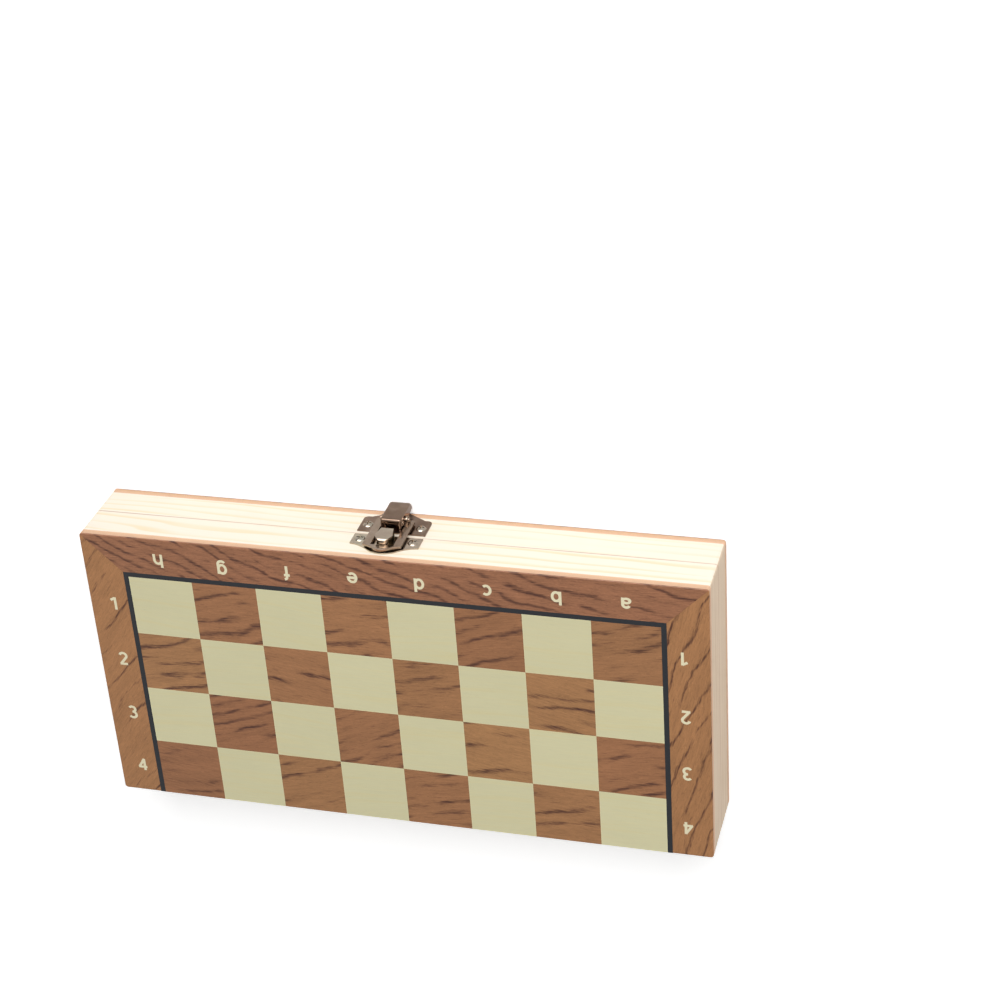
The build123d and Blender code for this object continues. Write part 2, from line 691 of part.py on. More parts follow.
def latch_lever():
    """The channel-shaped lever, with a rounded lip at its front and a turned-down tip."""
    top, front, bend, low = LEVER_TOP, LEVER_FRONT, LEVER_BEND, FLANGE_BOTTOM
    tip, tip_h, wall = LEVER_TIP, LEVER_TIP_H, LEVER_WALL
    width, chin, undercut = LEVER_HALF_WIDTH, 0.6, 0.3
    r = LEVER_LIP_RADIUS
    corner = r * (1 - cos(radians(45)))
    crest = (bend + 0.72 * (tip - bend), top - 0.3 * (top - tip_h))
    outline = [
        Line((front, low + chin), (front, top - r)),
        ThreePointArc((front, top - r), (front - corner, top - corner), (front - r, top)),
        Line((front - r, top), (bend, top)),
        ThreePointArc((bend, top), crest, (tip, tip_h)),
        Line((tip, tip_h), (tip + wall, tip_h - undercut)),
        Line((tip + wall, tip_h - undercut), (LINK_F - LOOP_EAR_RADIUS, low)),
        Line((LINK_F - LOOP_EAR_RADIUS, low), (front - chin, low)),
        Line((front - chin, low), (front, low + chin)),
    ]
    body = side_profile(outline, width)
    upper = [e for e in body.edges() if e.center().Y < LATCH_FACE - (top + tip_h) / 2]
    sides = [e for e in upper if abs(abs(e.center().X - LATCH_X) - width) < wall / 10]
    body = fillet([e for e in sides if e.length > LEVER_ROUNDING], LEVER_ROUNDING)
    lip_bottom, lip_back = top - LEVER_LIP, front - wall
    under_crest = (crest[0] + 0.55 * wall, crest[1] - 0.8 * wall)
    inside = [
        Line((front + wall, 0), (front + wall, lip_bottom)),
        Line((front + wall, lip_bottom), (lip_back, lip_bottom)),
        Line((lip_back, lip_bottom), (lip_back, top - wall)),
        Line((lip_back, top - wall), (bend, top - wall)),
        ThreePointArc((bend, top - wall), under_crest, (tip + wall, tip_h - undercut)),
        Line((tip + wall, tip_h - undercut), (tip + wall, 0)),
        Line((tip + wall, 0), (front + wall, 0)),
    ]
    body -= side_profile(inside, width - wall)
    hole = RIVET_RADIUS + RIVET_FIT / 2
    for f, h in ((PIVOT_F, PIVOT_H), (LINK_F, LINK_H)):
        body -= cross_bar(f, h, hole, -2 * width, 2 * width)
    return body


def latch_lever_rivet():
    """The lever's pivot pin, with a low head outside each flange."""
    x, head = LEVER_HALF_WIDTH, (WINDOW_HALF_WIDTH - LEVER_HALF_WIDTH) / 2
    pin = cross_bar(PIVOT_F, PIVOT_H, RIVET_RADIUS, -x, x)
    for a, b in ((x, x + head), (-x - head, -x)):
        pin += cross_bar(PIVOT_F, PIVOT_H, RIVET_HEAD_RADIUS, a, b)
    return pin


def latch_loop():
    """The flat loop that goes round the hook, with two ears on the lever's link rivets."""
    back = LINK_F - LOOP_EAR_RADIUS
    x, shoulder, window, r = LOOP_HALF_WIDTH, LOOP_SHOULDER, WINDOW_HALF_WIDTH, 1.2
    bend = r * (1 - cos(radians(45)))
    outline = [
        Line((0, WINDOW_FRONT), (window, WINDOW_FRONT)),
        Line((window, WINDOW_FRONT), (window, back)),
        Line((window, back), (x - r, back)),
        ThreePointArc((x - r, back), (x - bend, back + bend), (x, back + r)),
        Line((x, back + r), (x, shoulder)),
    ]
    turn = (0.45 * x, shoulder + 0.5 * (LOOP_TIP - shoulder))
    outline += [
        ThreePointArc((x, shoulder), (0.72 * x, shoulder + 0.16 * (LOOP_TIP - shoulder)), turn),
        ThreePointArc(turn, (0.22 * x, LOOP_TIP - 0.4), (0, LOOP_TIP)),
    ]
    plate = LATCH_PLANE.offset(LOOP_LOW) * mirrored_face(outline)
    loop = extrude(plate, LOOP_THICKNESS)
    r = LOOP_EAR_RADIUS
    loop += ear(LINK_F, LINK_H, r, r, LOOP_LOW, window, window + LOOP_EAR_THICKNESS)
    return loop - cross_bar(LINK_F, LINK_H, RIVET_RADIUS + RIVET_FIT, -x, x)


def latch_loop_rivets():
    """The two short rivets that join the loop's ears to the lever."""
    inner = LEVER_HALF_WIDTH - LEVER_WALL
    outer = WINDOW_HALF_WIDTH + LOOP_EAR_THICKNESS + RIVET_FIT
    rivets = []
    for side in (-1, 1):
        shank_ends = sorted((side * inner, side * outer))
        head_ends = sorted((side * outer, side * (outer + RIVET_HEAD_HEIGHT)))
        shank = cross_bar(LINK_F, LINK_H, RIVET_RADIUS, *shank_ends)
        rivets.append(shank + cross_bar(LINK_F, LINK_H, RIVET_HEAD_RADIUS, *head_ends))
    return group(rivets)


def latch_screws(f):
    """A pair of round-headed cross screws on the latch's plate."""
    radius, dome, length = LATCH_SCREW_HEAD, LATCH_SCREW_DOME, LATCH_SCREW_LENGTH
    sphere_radius = (radius**2 + dome**2) / (2 * dome)
    ball = Pos(0, 0, dome - sphere_radius) * Sphere(sphere_radius)
    head = ball & block(-radius, radius, -radius, radius, 0, dome)
    shank = Pos(0, 0, -length / 2) * Cylinder(LATCH_SCREW_SHANK, length)
    recess = cross_recess(CROSS_WIDTH, radius * 0.62, dome / 2 + CROSS_DEPTH / 2)
    screw = head + shank - Pos(0, 0, dome) * recess
    return group([spot * Pos(0, 0, PLATE_THICKNESS) * screw for spot in latch_screw_spots(f)])


def half_nodes(side):
    """Every fixed wooden, steel and foam piece of one half."""
    nodes = {f"{side}_{name}": rail(side, name, outline) for name, outline in rail_outlines().items()}
    nodes[f"{side}_board_core"] = on_side(side, board_core())
    nodes[f"{side}_steel_sheet"] = on_side(side, steel_block(0))
    nodes[f"{side}_border_veneer"] = on_side(side, border_veneer())
    nodes[f"{side}_ring_line"] = on_side(side, ring_line())
    nodes[f"{side}_dark_squares"] = on_side(side, squares(side, dark=True))
    nodes[f"{side}_light_squares"] = on_side(side, squares(side, dark=False))
    nodes[f"{side}_foam_tray"] = on_side(side, foam_tray())
    nodes[f"hinge_screws_{side}"] = on_side(side, hinge_screws())
    for name, x in HINGE_XS.items():
        nodes[f"{name}_hinge_{side}_leaf"] = on_side(side, hinge_leaf(x, inner=side == "upper"))
    return nodes


def game_nodes(side, colour):
    """The chess pieces kept in one half, with their magnets and felts."""
    nodes = {f"{colour}_{kind}": on_side(side, figures_of(kind)) for kind in FIGURES}
    nodes[f"{colour}_piece_magnets"] = on_side(side, piece_magnets())
    nodes[f"{colour}_piece_felts"] = on_side(side, piece_felts())
    return nodes


def latch_nodes():
    """The draw latch in the middle of the latch side."""
    return {
        "latch_lever_plate": latch_lever_plate(),
        "latch_hook_plate": latch_hook_plate(),
        "latch_lever": latch_lever(),
        "latch_lever_rivet": latch_lever_rivet(),
        "latch_loop": latch_loop(),
        "latch_loop_rivets": latch_loop_rivets(),
        "latch_screws_lower": latch_screws(LEVER_SCREW_F),
        "latch_screws_upper": latch_screws(HOOK_SCREW_F),
    }


def main():
    os.makedirs("parts", exist_ok=True)
    nodes = {**half_nodes("lower"), **half_nodes("upper"), **latch_nodes()}
    for name, x in HINGE_XS.items():
        nodes[f"{name}_hinge_pin"] = knuckle_rod(x, PIN_RADIUS, HINGE_LENGTH - KNUCKLE_GAP)
    nodes.update(game_nodes("lower", "light"))
    nodes.update(game_nodes("upper", "dark"))
    for name, shape in nodes.items():
        export_step(shape, f"parts/{name}.step")


main()
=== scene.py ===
"""Looks of a magnetic folding chess set: veneers, sanded pine, nickel latch, turned men, stage and camera."""

import json
from math import atan2, cos, degrees, pi, radians, sin

import bpy
from bpy.props import FloatProperty, FloatVectorProperty, PointerProperty
from mathutils import Matrix, Vector

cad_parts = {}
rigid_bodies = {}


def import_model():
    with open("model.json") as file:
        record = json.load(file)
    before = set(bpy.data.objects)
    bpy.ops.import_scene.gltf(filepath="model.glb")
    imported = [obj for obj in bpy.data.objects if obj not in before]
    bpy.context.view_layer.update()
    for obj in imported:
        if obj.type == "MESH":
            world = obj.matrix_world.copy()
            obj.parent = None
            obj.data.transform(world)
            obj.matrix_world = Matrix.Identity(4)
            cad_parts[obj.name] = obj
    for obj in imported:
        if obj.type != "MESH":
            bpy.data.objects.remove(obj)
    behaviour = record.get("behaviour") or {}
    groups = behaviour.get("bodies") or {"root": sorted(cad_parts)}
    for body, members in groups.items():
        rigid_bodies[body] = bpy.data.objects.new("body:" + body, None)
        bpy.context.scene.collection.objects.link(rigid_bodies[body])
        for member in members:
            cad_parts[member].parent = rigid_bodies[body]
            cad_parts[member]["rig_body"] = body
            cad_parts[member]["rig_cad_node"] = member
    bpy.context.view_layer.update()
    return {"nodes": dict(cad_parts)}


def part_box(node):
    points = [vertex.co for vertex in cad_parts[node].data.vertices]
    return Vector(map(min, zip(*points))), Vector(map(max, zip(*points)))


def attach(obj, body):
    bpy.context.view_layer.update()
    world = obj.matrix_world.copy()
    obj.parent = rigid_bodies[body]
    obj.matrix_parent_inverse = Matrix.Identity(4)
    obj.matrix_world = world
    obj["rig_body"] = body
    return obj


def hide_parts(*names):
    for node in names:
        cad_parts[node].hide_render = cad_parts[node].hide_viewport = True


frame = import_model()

bl_info = {
    "name": "Folding chess set",
    "version": (1, 0, 0),
    "blender": (4, 5, 0),
    "location": "View3D > Sidebar > Chess set",
    "description": "Finishes the case, latch, trays and men of a folding chess set",
    "category": "Object",
}

SIDES = ("lower", "upper")
MEN_OF = {"lower": "light", "upper": "dark"}
MM = 0.001
ORIGIN = (0, 0, 0)

# What counts as one point on a CAD piece, and on a piece modelled here
EPSILON = 1e-6
CLOSE = 1e-5

# What counts as one plane, and the angles from which an edge of a CAD piece and of a man stays sharp
FLAT = radians(0.4)
EDGE_ANGLE = radians(30)
TURNED_EDGE = radians(38)
CARVED_EDGE = radians(60)

# How far the case's rounded corners reach along its sides
CORNER_REACH = 1.3 * MM

LATHE_SIDES = 48
PLIES = 3
VENEER_GLOSS = {"Coat_Weight": 0.15, "Coat_Roughness": 0.3}


def both_boxes(*nodes):
    """Lowest and highest corner of several nodes together."""
    boxes = [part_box(node) for node in nodes]
    low = Vector(min(box[0][axis] for box in boxes) for axis in range(3))
    high = Vector(max(box[1][axis] for box in boxes) for axis in range(3))
    return low, high


CASE_LOW, CASE_HIGH = both_boxes("lower_border_veneer", "upper_border_veneer")
PLAY_LOW, PLAY_HIGH = both_boxes("upper_dark_squares", "upper_light_squares")
FILES = "abcdefgh"
RANKS = {"upper": "1234", "lower": "8765"}
SQUARE = (PLAY_HIGH.x - PLAY_LOW.x) / len(FILES)
PARTING = (CASE_LOW.z + CASE_HIGH.z) / 2
FACE = {"lower": CASE_LOW.z, "upper": CASE_HIGH.z}
BODY = {"lower": "lower_half", "upper": "upper_half"}
CORE = {side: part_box(f"{side}_board_core") for side in SIDES}


def srgb(red, green, blue):
    """A colour as painted, from 0 to 255, in the scene's linear light."""
    def linear(value):
        value /= 255
        return value / 12.92 if value <= 0.04045 else ((value + 0.055) / 1.055) ** 2.4
    return linear(red), linear(green), linear(blue)


def colour(name, description, red, green, blue):
    """A colour that the user can change."""
    return FloatVectorProperty(
        name=name, description=description, subtype="COLOR", size=3, min=0, max=1, default=srgb(red, green, blue)
    )


def length(name, description, millimetres):
    """A length that the user can change, given in millimetres."""
    return FloatProperty(name=name, description=description, unit="LENGTH", min=0, default=millimetres * MM)


class WoodProperties(bpy.types.PropertyGroup):
    dark_square: colour("Dark squares", "Ground colour of the dark veneer squares", 160, 110, 76)
    light_square: colour("Light squares", "Ground colour of the light veneer squares", 214, 208, 168)
    border: colour("Border", "Ground colour of the border veneer", 158, 108, 78)
    side_border: colour("End borders", "Ground colour of the border veneer at both ends", 172, 122, 80)
    warm_square: colour("Warm squares", "Ground colour of the yellowest dark squares", 174, 128, 84)
    streak: colour("Streaks", "Dark streaks of the brown veneer", 84, 50, 40)
    line: colour("Line", "Black stringing round the squares", 44, 46, 50)
    # The long rails' pine and rings are painted lighter than the end rails' pine and rings, which are the same wood:
    # lit and shaded copies of one pine
    pine: colour("Pine", "Sapwood of the long rails", 247, 237, 220)
    lit_pine_ring: colour("Pine rings", "Summer wood in the long rails", 241, 220, 178)
    shaded_end_pine: colour("End pine", "Sapwood of the end rails", 226, 203, 176)
    shaded_end_ring: colour("End pine rings", "Summer wood in the end rails", 206, 174, 140)
    # Dirt and painted shade in the crease where the two halves meet
    seam_dirt_and_shade: colour("Dirt", "Dirt along the line where the two halves meet", 190, 148, 120)
    plywood: colour("Plywood", "Edges of the back panels", 226, 184, 150)
    softness: length("Sanding", "Rounding of the sanded wooden edges", 0.3)


class MarkProperties(bpy.types.PropertyGroup):
    ink: colour("Lettering", "Letters and numbers of the border", 232, 223, 188)
    letter_height: length("Small letter height", "Height of a letter without a stem", 4.5)
    digit_height: length("Number height", "Height of the numbers", 5.6)
    letter_foot: length("Letter margin", "From the latch edge to the foot of the letters", 6.3)
    digit_margin: length("Number margin", "From the end of the case to the middle of a number", 9.4)
    letter_shift: length("Letter shift", "How far the letters stand off the middle of their file", 0.5)
    stroke: length("Stroke", "Width of the letters' strokes", 1.05)
    thickness: length("Print", "Thickness of the printed marks", 0.02)


class MetalProperties(bpy.types.PropertyGroup):
    nickel: colour("Nickel", "Plating of the latch and the hinges", 176, 160, 145)
    tarnish: colour("Tarnish", "Browner clouds in the plating", 142, 121, 103)
    # A darker copy of the nickel, with darker tarnish clouds, for the lever and its plate: painted shade
    old_nickel: colour("Old nickel", "Browner plating of the lever and its plate", 158, 137, 122)
    shaded_lever_tarnish: colour("Old tarnish", "Darker clouds in the browner plating", 126, 105, 90)
    # A paler copy of the nickel for the hook plate: painted reflection of the light on its roll
    bright_nickel: colour("Bright nickel", "Greener and paler plating of the hook plate", 196, 187, 168)
    screw: colour("Screws", "Bright heads of the screws", 176, 173, 160)
    steel: colour("Steel", "Sheet under the squares, and magnets", 150, 152, 156)
    softness: length("Edges", "Rounding of the stamped metal edges", 0.24)


class GameProperties(bpy.types.PropertyGroup):
    light_wood: colour("Light men", "Varnished pale wood", 236, 206, 158)
    light_grain: colour("Light grain", "Rings in the pale wood", 208, 168, 116)
    dark_wood: colour("Dark men", "Stained wood", 98, 56, 37)
    dark_grain: colour("Dark grain", "Rings in the stained wood", 52, 28, 20)
    foam: colour("Foam", "Trays", 44, 42, 42)
    foam_edge: length("Foam edges", "Rounding of the foam's cut edges", 0.35)
    felt: colour("Felt", "Discs under the men", 62, 92, 62)


class StageProperties(bpy.types.PropertyGroup):
    floor: colour("Floor", "Plain floor", 236, 236, 236)
    key: FloatProperty(name="Key light", description="Power of the large lamp", unit="POWER", default=19)
    fill: FloatProperty(name="Fill light", description="Power of the side lamp", unit="POWER", default=3)
    back: FloatProperty(name="Back light", description="Power of the lamp behind", unit="POWER", default=3)
    sky: FloatProperty(name="Surround", description="Strength of the even light all round", default=0.34)
    glow: FloatProperty(name="Floor glow", description="White that only the camera sees on the floor", default=0.35)


class Wire:
    """A node's output, for use in sums and products."""

    def __init__(self, finish, socket):
        self.finish = finish
        self.socket = socket

    def math(self, operation, *others):
        return self.finish.node("ShaderNodeMath", {"operation": operation}, dict(enumerate((self, *others))))

    def __add__(self, other):
        return self.math("ADD", other)

    def __sub__(self, other):
        return self.math("SUBTRACT", other)

    def __mul__(self, other):
        return self.math("MULTIPLY", other)

    def __truediv__(self, other):
        return self.math("DIVIDE", other)

    def __rsub__(self, other):
        return self.math("MULTIPLY", -1).math("ADD", other)

    def __abs__(self):
        return self.math("ABSOLUTE")

    def floor(self):
        return self.math("FLOOR")

    def fraction(self):
        return self.math("FRACT")

    __radd__ = __add__
    __rmul__ = __mul__


class Finish:
    """A material in the making, or a world."""

    def __init__(self, owner):
        self.material = bpy.data.materials.new(owner) if isinstance(owner, str) else owner
        self.material.use_nodes = True
        self.tree = self.material.node_tree
        self.tree.nodes.clear()

    def node(self, kind, settings, values, output=0):
        """Adds a node: its settings first, then the values or links of its sockets."""
        made = self.tree.nodes.new(kind)
        for name, value in settings.items():
            setattr(made, name, value)
        for name, value in values.items():
            self.feed(made.inputs[name], value)
        return Wire(self, made.outputs[output])

    def feed(self, socket, value):
        """Links a wire, or sets a plain value."""
        if isinstance(value, Wire):
            self.tree.links.new(value.socket, socket)
        elif socket.type == "RGBA":
            socket.default_value = (*value[:3], 1)
        else:
            socket.default_value = value

    def vector(self, operation, *values, output=0):
        return self.node("ShaderNodeVectorMath", {"operation": operation}, dict(enumerate(values)), output)

    def split(self, vector):
        """The three numbers of a vector."""
        return [self.node("ShaderNodeSeparateXYZ", {}, {0: vector}, axis) for axis in range(3)]

    def join(self, x, y, z):
        return self.node("ShaderNodeCombineXYZ", {}, {0: x, 1: y, 2: z})

    def millimetres(self):
        """The place on the object, in millimetres."""
        place = self.node("ShaderNodeTexCoord", {}, {}, "Object")
        return self.split(self.vector("MULTIPLY", place, (1 / MM,) * 3))

    def noise(self, place, detail=2, roughness=0.5, distortion=0.0):
        """Cloudy noise from 0 to 1, with cells of about one unit of the three numbers given."""
        values = {"Vector": self.join(*place), "Scale": 1.0, "Detail": detail, "Roughness": roughness,
                  "Distortion": distortion}
        return self.node("ShaderNodeTexNoise", {"noise_dimensions": "3D"}, values)

    def spots(self, place, low, high, detail=1, roughness=0.5):
        """Soft-edged spots: the noise above a threshold."""
        return self.step(self.noise(place, detail, roughness), low, high)

    def step(self, value, low, high, to_low=0.0, to_high=1.0):
        """A smooth change from one value to another between two thresholds."""
        settings = {"interpolation_type": "SMOOTHSTEP", "clamp": True}
        return self.node("ShaderNodeMapRange", settings, {0: value, 1: low, 2: high, 3: to_low, 4: to_high})

    def mix(self, share, first, second, blend="MIX"):
        """Two colours, mixed by a share."""
        settings = {"data_type": "RGBA", "blend_type": blend, "clamp_factor": True}
        return self.node("ShaderNodeMix", settings, {0: share, 6: first, 7: second}, 2)

    def shade(self, ground, amount):
        """A colour made darker or lighter by a number around one."""
        grey = self.join(amount, amount, amount)
        return self.mix(1.0, ground, grey, "MULTIPLY")

    def surface(self, ground, rough, height, depth, **values):
        """Ends a material: its colour, its roughness, and a grain with its depth in millimetres."""
        grain = self.node("ShaderNodeBump", {}, {"Strength": 1.0, "Distance": depth * MM, "Height": height})
        return self.done(Base_Color=ground, Roughness=rough, Normal=grain, **values)

    def done(self, **values):
        """Ends the material in one shader, with its values by socket name."""
        named = {name.replace("_", " "): value for name, value in values.items()}
        self.end("ShaderNodeOutputMaterial", self.node("ShaderNodeBsdfPrincipled", {}, named))
        return self.material

    def end(self, kind, shader):
        """Feeds the shader to the output."""
        self.feed(self.tree.nodes.new(kind).inputs["Surface"], shader)


def started(name):
    """A new material, and the place on the object in millimetres."""
    finish = Finish(name)
    return finish, *finish.millimetres()


def turned_axes(x, y, turn, side):
    """Distances along and across a direction, given by its cosine and sine."""
    return x * turn + y * side, y * turn - x * side


def streaks(finish, down, over, spacing, reach, share, width):
    """Soft dark bands: their spacing and reach in millimetres, the share that shows, and the width in spacings."""
    sway = finish.noise((down / 44, over / 36, spacing))
    wave = finish.noise((down / 9, over / 9, spacing + 3), 2, 0.55)
    ring = (over + (sway - 0.5) * 16 + (wave - 0.5) * 2.6) / spacing
    edge = abs(ring.fraction() - 0.5)
    band = finish.step(edge, 0.0, width, 1.0, 0.0)
    shown = finish.noise((ring.floor() * 3.7, down / reach, 7.5), 2, 0.6)
    return band * finish.step(shown, 0.54 - share, 0.76 - share)


def brown_veneer(finish, along, across, ground, streak, lie, figure, grit=1.2):
    """Brown veneer: fibres, pores, and streaks that darken the fibres one by one.

    The streaks' lie is their drift off the fibres and their bow, and their figure is what streaks takes.
    """
    drift, bow = lie
    down, over = turned_axes(along, across, cos(drift), sin(drift))
    if bow:
        over = over + along * along * bow
    spacing, reach, share, width = figure
    band = streaks(finish, down, over, *figure)
    thin = streaks(finish, down, over, spacing * 0.43, reach * 0.5, share * 0.6, width * 0.8)
    torn = finish.noise((along / 4.6, across / 0.42, 1.5), 3, 0.55)
    marks = finish.step(band * 0.64 + thin * 0.2 + (torn - 0.5) * 1.7, 0.1, 0.95)
    tone = finish.noise((down / 28, over / 4.2, 9.5), 3, 0.6)
    hair = finish.noise((along / 6, across / 0.55, 4.5), 3, 0.65)
    fibres = finish.noise((along / 3, across / 0.22, 5.5), 3, 0.6)
    pores = finish.spots((along / 1.5, across / 0.25, 2.5), 0.56, 0.7)
    flecks = finish.spots((along / 1.2, across / 0.4, 6.5), 0.62, 0.76)
    fine = (hair - 0.5) * 0.45 + (fibres - 0.5) * 0.2 - pores * 0.14 + flecks * 0.14
    value = 0.8 + tone * 0.38 + fine * grit - band * 0.07
    return finish.shade(finish.mix(marks, ground, streak), value), fibres * 0.5 + hair * 0.4 - pores, marks


# The sheets that the squares are cut from, in millimetres, and how far the grain turns from square to square
SHEET_LENGTH, SHEET_WIDTH = 900, 700
SHEET_SEED = {"upper": 3.5, "lower": 8.5}
DARK_TURN, LIGHT_TURN = radians(34), radians(10)


def square_veneer(tones, shade, side):
    """The finish of the dark or the light squares, each cut from another place of the sheet."""
    finish, x, y, _ = started(f"{side}_{shade}_veneer")
    dark = shade == "dark"
    x, y, size = x - PLAY_LOW.x / MM, y - PLAY_LOW.y / MM, SQUARE / MM
    column, row = (x / size).floor() + 0.5, (y / size).floor() + 0.5
    cell = finish.join(column, row, SHEET_SEED[side])
    chance = finish.node("ShaderNodeTexWhiteNoise", {"noise_dimensions": "3D"}, {"Vector": cell}, "Color")
    first, second, third = finish.split(chance)
    angle = (first - 0.5) * (DARK_TURN if dark else LIGHT_TURN)
    dx, dy = x - column * size, y - row * size
    along, across = turned_axes(dx, dy, angle.math("COSINE"), angle.math("SINE"))
    along, across = along + second * SHEET_LENGTH, across + third * SHEET_WIDTH
    rim = size / 2 - abs(dx).math("MAXIMUM", abs(dy))
    if dark:
        ground = finish.mix(third, tones.dark_square, tones.warm_square)
        figure = 5.2, 30, 0.13, 0.36
        mixed, height, marks = brown_veneer(finish, along, across, ground, tones.streak, (radians(9), 0), figure)
        mixed = finish.shade(mixed, 0.95 + second * 0.1 - finish.step(rim, 0.0, 0.2, 0.12, 0.0))
        rough = 0.42 + marks * 0.1
    else:
        mixed, height = pale_veneer(finish, along, across, tones.light_square)
        # The light squares are lighter along their edges: a painted highlight
        mixed = finish.shade(mixed, 0.995 + second * 0.05 + finish.step(rim, 0.05, 0.3, 0.16, 0.0))
        rough = 0.44 + height * 0.06
    return finish.surface(mixed, rough, height, 0.012, **VENEER_GLOSS)


def pale_veneer(finish, along, across, ground):
    """Close-grained pale veneer with faint lines."""
    slow = finish.noise((along / 60, across / 20, 0.5))
    across = across + (slow - 0.5) * 6
    lines = finish.noise((along / 40, across / 1.3, 1.5), 3, 0.6)
    fibres = finish.noise((along / 5, across / 0.35, 5.5), 3, 0.6)
    tone = finish.noise((along / 20, across / 9, 9.5))
    flecks = finish.spots((along / 1.6, across / 0.3, 2.5), 0.68, 0.8)
    value = 0.93 + tone * 0.05 + lines * 0.07 + (fibres - 0.5) * 0.1 - flecks * 0.06
    red, green, blue = ground
    warm = finish.mix(finish.step(lines, 0.45, 0.72) * 0.5, ground, (red, green * 0.93, blue * 0.78))
    return finish.shade(warm, value), fibres * 0.5 - flecks * 0.5


def border_finish(name, tones):
    """The border's three strips, each with its own grain, and a tight mitre between them."""
    finish, x, y, _ = started(name)
    figure = 4.2, 20, 0.22, 0.32
    lie = radians(-18), 0.0009
    front, front_height, front_marks = brown_veneer(finish, x, y, tones.border, tones.streak, lie, figure, 1.7)
    angle = finish.step(x, -1, 1, radians(76), radians(57))
    along, across = turned_axes(x, y, angle.math("COSINE"), angle.math("SINE"))
    figure = 6.5, 40, finish.step(x, -1, 1, 0.27, 0.12), 0.15
    lie = radians(-9), 0
    end, end_height, _ = brown_veneer(finish, along + 91, across + 37, tones.side_border, tones.streak, lie, figure)
    from_end = CASE_HIGH.x / MM - abs(x)
    from_latch = y - CASE_LOW.y / MM
    at_end = finish.step(from_latch - from_end, -0.05, 0.05)
    mitre = finish.step(abs(from_latch - from_end), 0.0, 0.2)
    mixed = finish.shade(finish.mix(at_end, front, end), 0.86 + mitre * 0.14)
    height = front_height * (1 - at_end) + end_height * at_end
    return finish.surface(mixed, 0.42 + front_marks * 0.08, height, 0.014, **VENEER_GLOSS)


def line_finish(name, tones):
    """Black-dyed stringing with a faint grain."""
    finish, x, y, z = started(name)
    fibres = finish.noise((x / 0.9, y / 0.9, z), 3, 0.6)
    return finish.surface(finish.shade(tones.line, 0.8 + fibres * 0.4), 0.5, fibres, 0.01)


def pine_finish(name, wood, summer, seam_dirt_and_shade, angle, seed):
    """Sanded pine: pale sapwood with a few thin growth rings, and some dirt and painted shade in the crease where
    the two halves meet.
    """
    finish, x, y, z = started(name)
    along, across = turned_axes(x, y, cos(angle), sin(angle))
    along = along + seed * 71.3
    depth = across + seed * 37.9 + z * 1.1 + along * 0.012
    slow = finish.noise((along / 110, depth / 30, z / 40))
    gaps = finish.noise((along / 400, depth / 9, 2.5), 1, 0.5)
    ring = (depth + (slow - 0.5) * 10 + (gaps - 0.5) * 9) / 4.6
    edge = ring.fraction()
    fade = finish.noise((along / 70, ring.floor() * 3.7, 8.5))
    line = finish.step(edge, 0.5, 0.9) * finish.step(edge, 0.92, 1.0, 1.0, 0.0) * finish.step(fade, 0.3, 0.7)
    broad = finish.noise((along / 90, depth / 8, 4.5))
    fibres = finish.noise((along / 8, depth / 0.28, 5.5), 3, 0.6)
    value = 0.95 + broad * 0.06 + (fibres - 0.5) * 0.06
    mixed = finish.shade(finish.mix(line * 0.8, wood, summer), value)
    rim = (CASE_HIGH.x / MM - abs(x)).math("MINIMUM", y - CASE_LOW.y / MM).math("MINIMUM", CASE_HIGH.y / MM - y)
    # The crease where the two halves meet is darkened in patches: dirt and painted shade
    seam_patches = finish.noise((along / 50, 0.5, 3.5))
    seam = finish.step(abs(z - PARTING / MM), 0.1, 0.35, 1.0, 0.0) * finish.step(rim, 0.2, 0.5, 1.0, 0.0)
    mixed = finish.mix(seam * finish.step(seam_patches, 0.35, 0.6, 0.35, 0.75), mixed, seam_dirt_and_shade)
    return finish.surface(mixed, 0.58 - line * 0.06, fibres, 0.02)


def plywood_finish(name, tones):
    """Edges of the three plies of a back panel, counted from its veneer, with the glue lines between them."""
    finish, x, y, z = started(name)
    low, high = (corner.z / MM for corner in CORE["lower"])
    near = z.math("MINIMUM", CASE_HIGH.z / MM - z)
    ply = (near - low) / ((high - low) / PLIES)
    edge = ply.math("PINGPONG", 0.5)
    glue = finish.step(edge, 0.0, 0.07, 1.0, 0.0)
    middle = finish.step(ply, 0.97, 1.03) - finish.step(ply, 1.97, 2.03)
    long_grain = finish.noise((x / 9, y / 9, z / 0.12), 3, 0.6)
    end_grain = finish.noise((x / 0.35, y / 0.35, z / 0.5), 2, 0.6)
    outer = finish.step(ply, 0.9, 1.1, 0.1, 0.0)
    grain = long_grain * 0.2 * (1 - middle) + end_grain * 0.2 * middle
    value = 0.92 + grain - middle * 0.06 - glue * 0.26 - outer
    return finish.surface(finish.shade(tones.plywood, value), 0.65, end_grain * middle + long_grain, 0.02)


def metal_finish(name, ground, tarnish, rough):
    """Plated sheet metal: brownish clouds, fine rolling lines and a few rubbed spots."""
    finish, x, y, z = started(name)
    clouds = finish.noise((x / 7, y / 7, z / 7))
    lines = finish.noise((x / 0.12, y / 1.4, z / 2.6))
    rubbed = finish.spots((x / 0.7, y / 0.7, z / 0.7), 0.58, 0.72, 2, 0.6)
    plate = finish.mix(finish.step(clouds, 0.25, 0.75), ground, tarnish)
    plate, rough = finish.shade(plate, 0.95 + rubbed * 0.12), rough + clouds * 0.08 + rubbed * 0.08
    return finish.surface(plate, rough, lines * 0.5 + clouds, 0.008, Metallic=1.0)


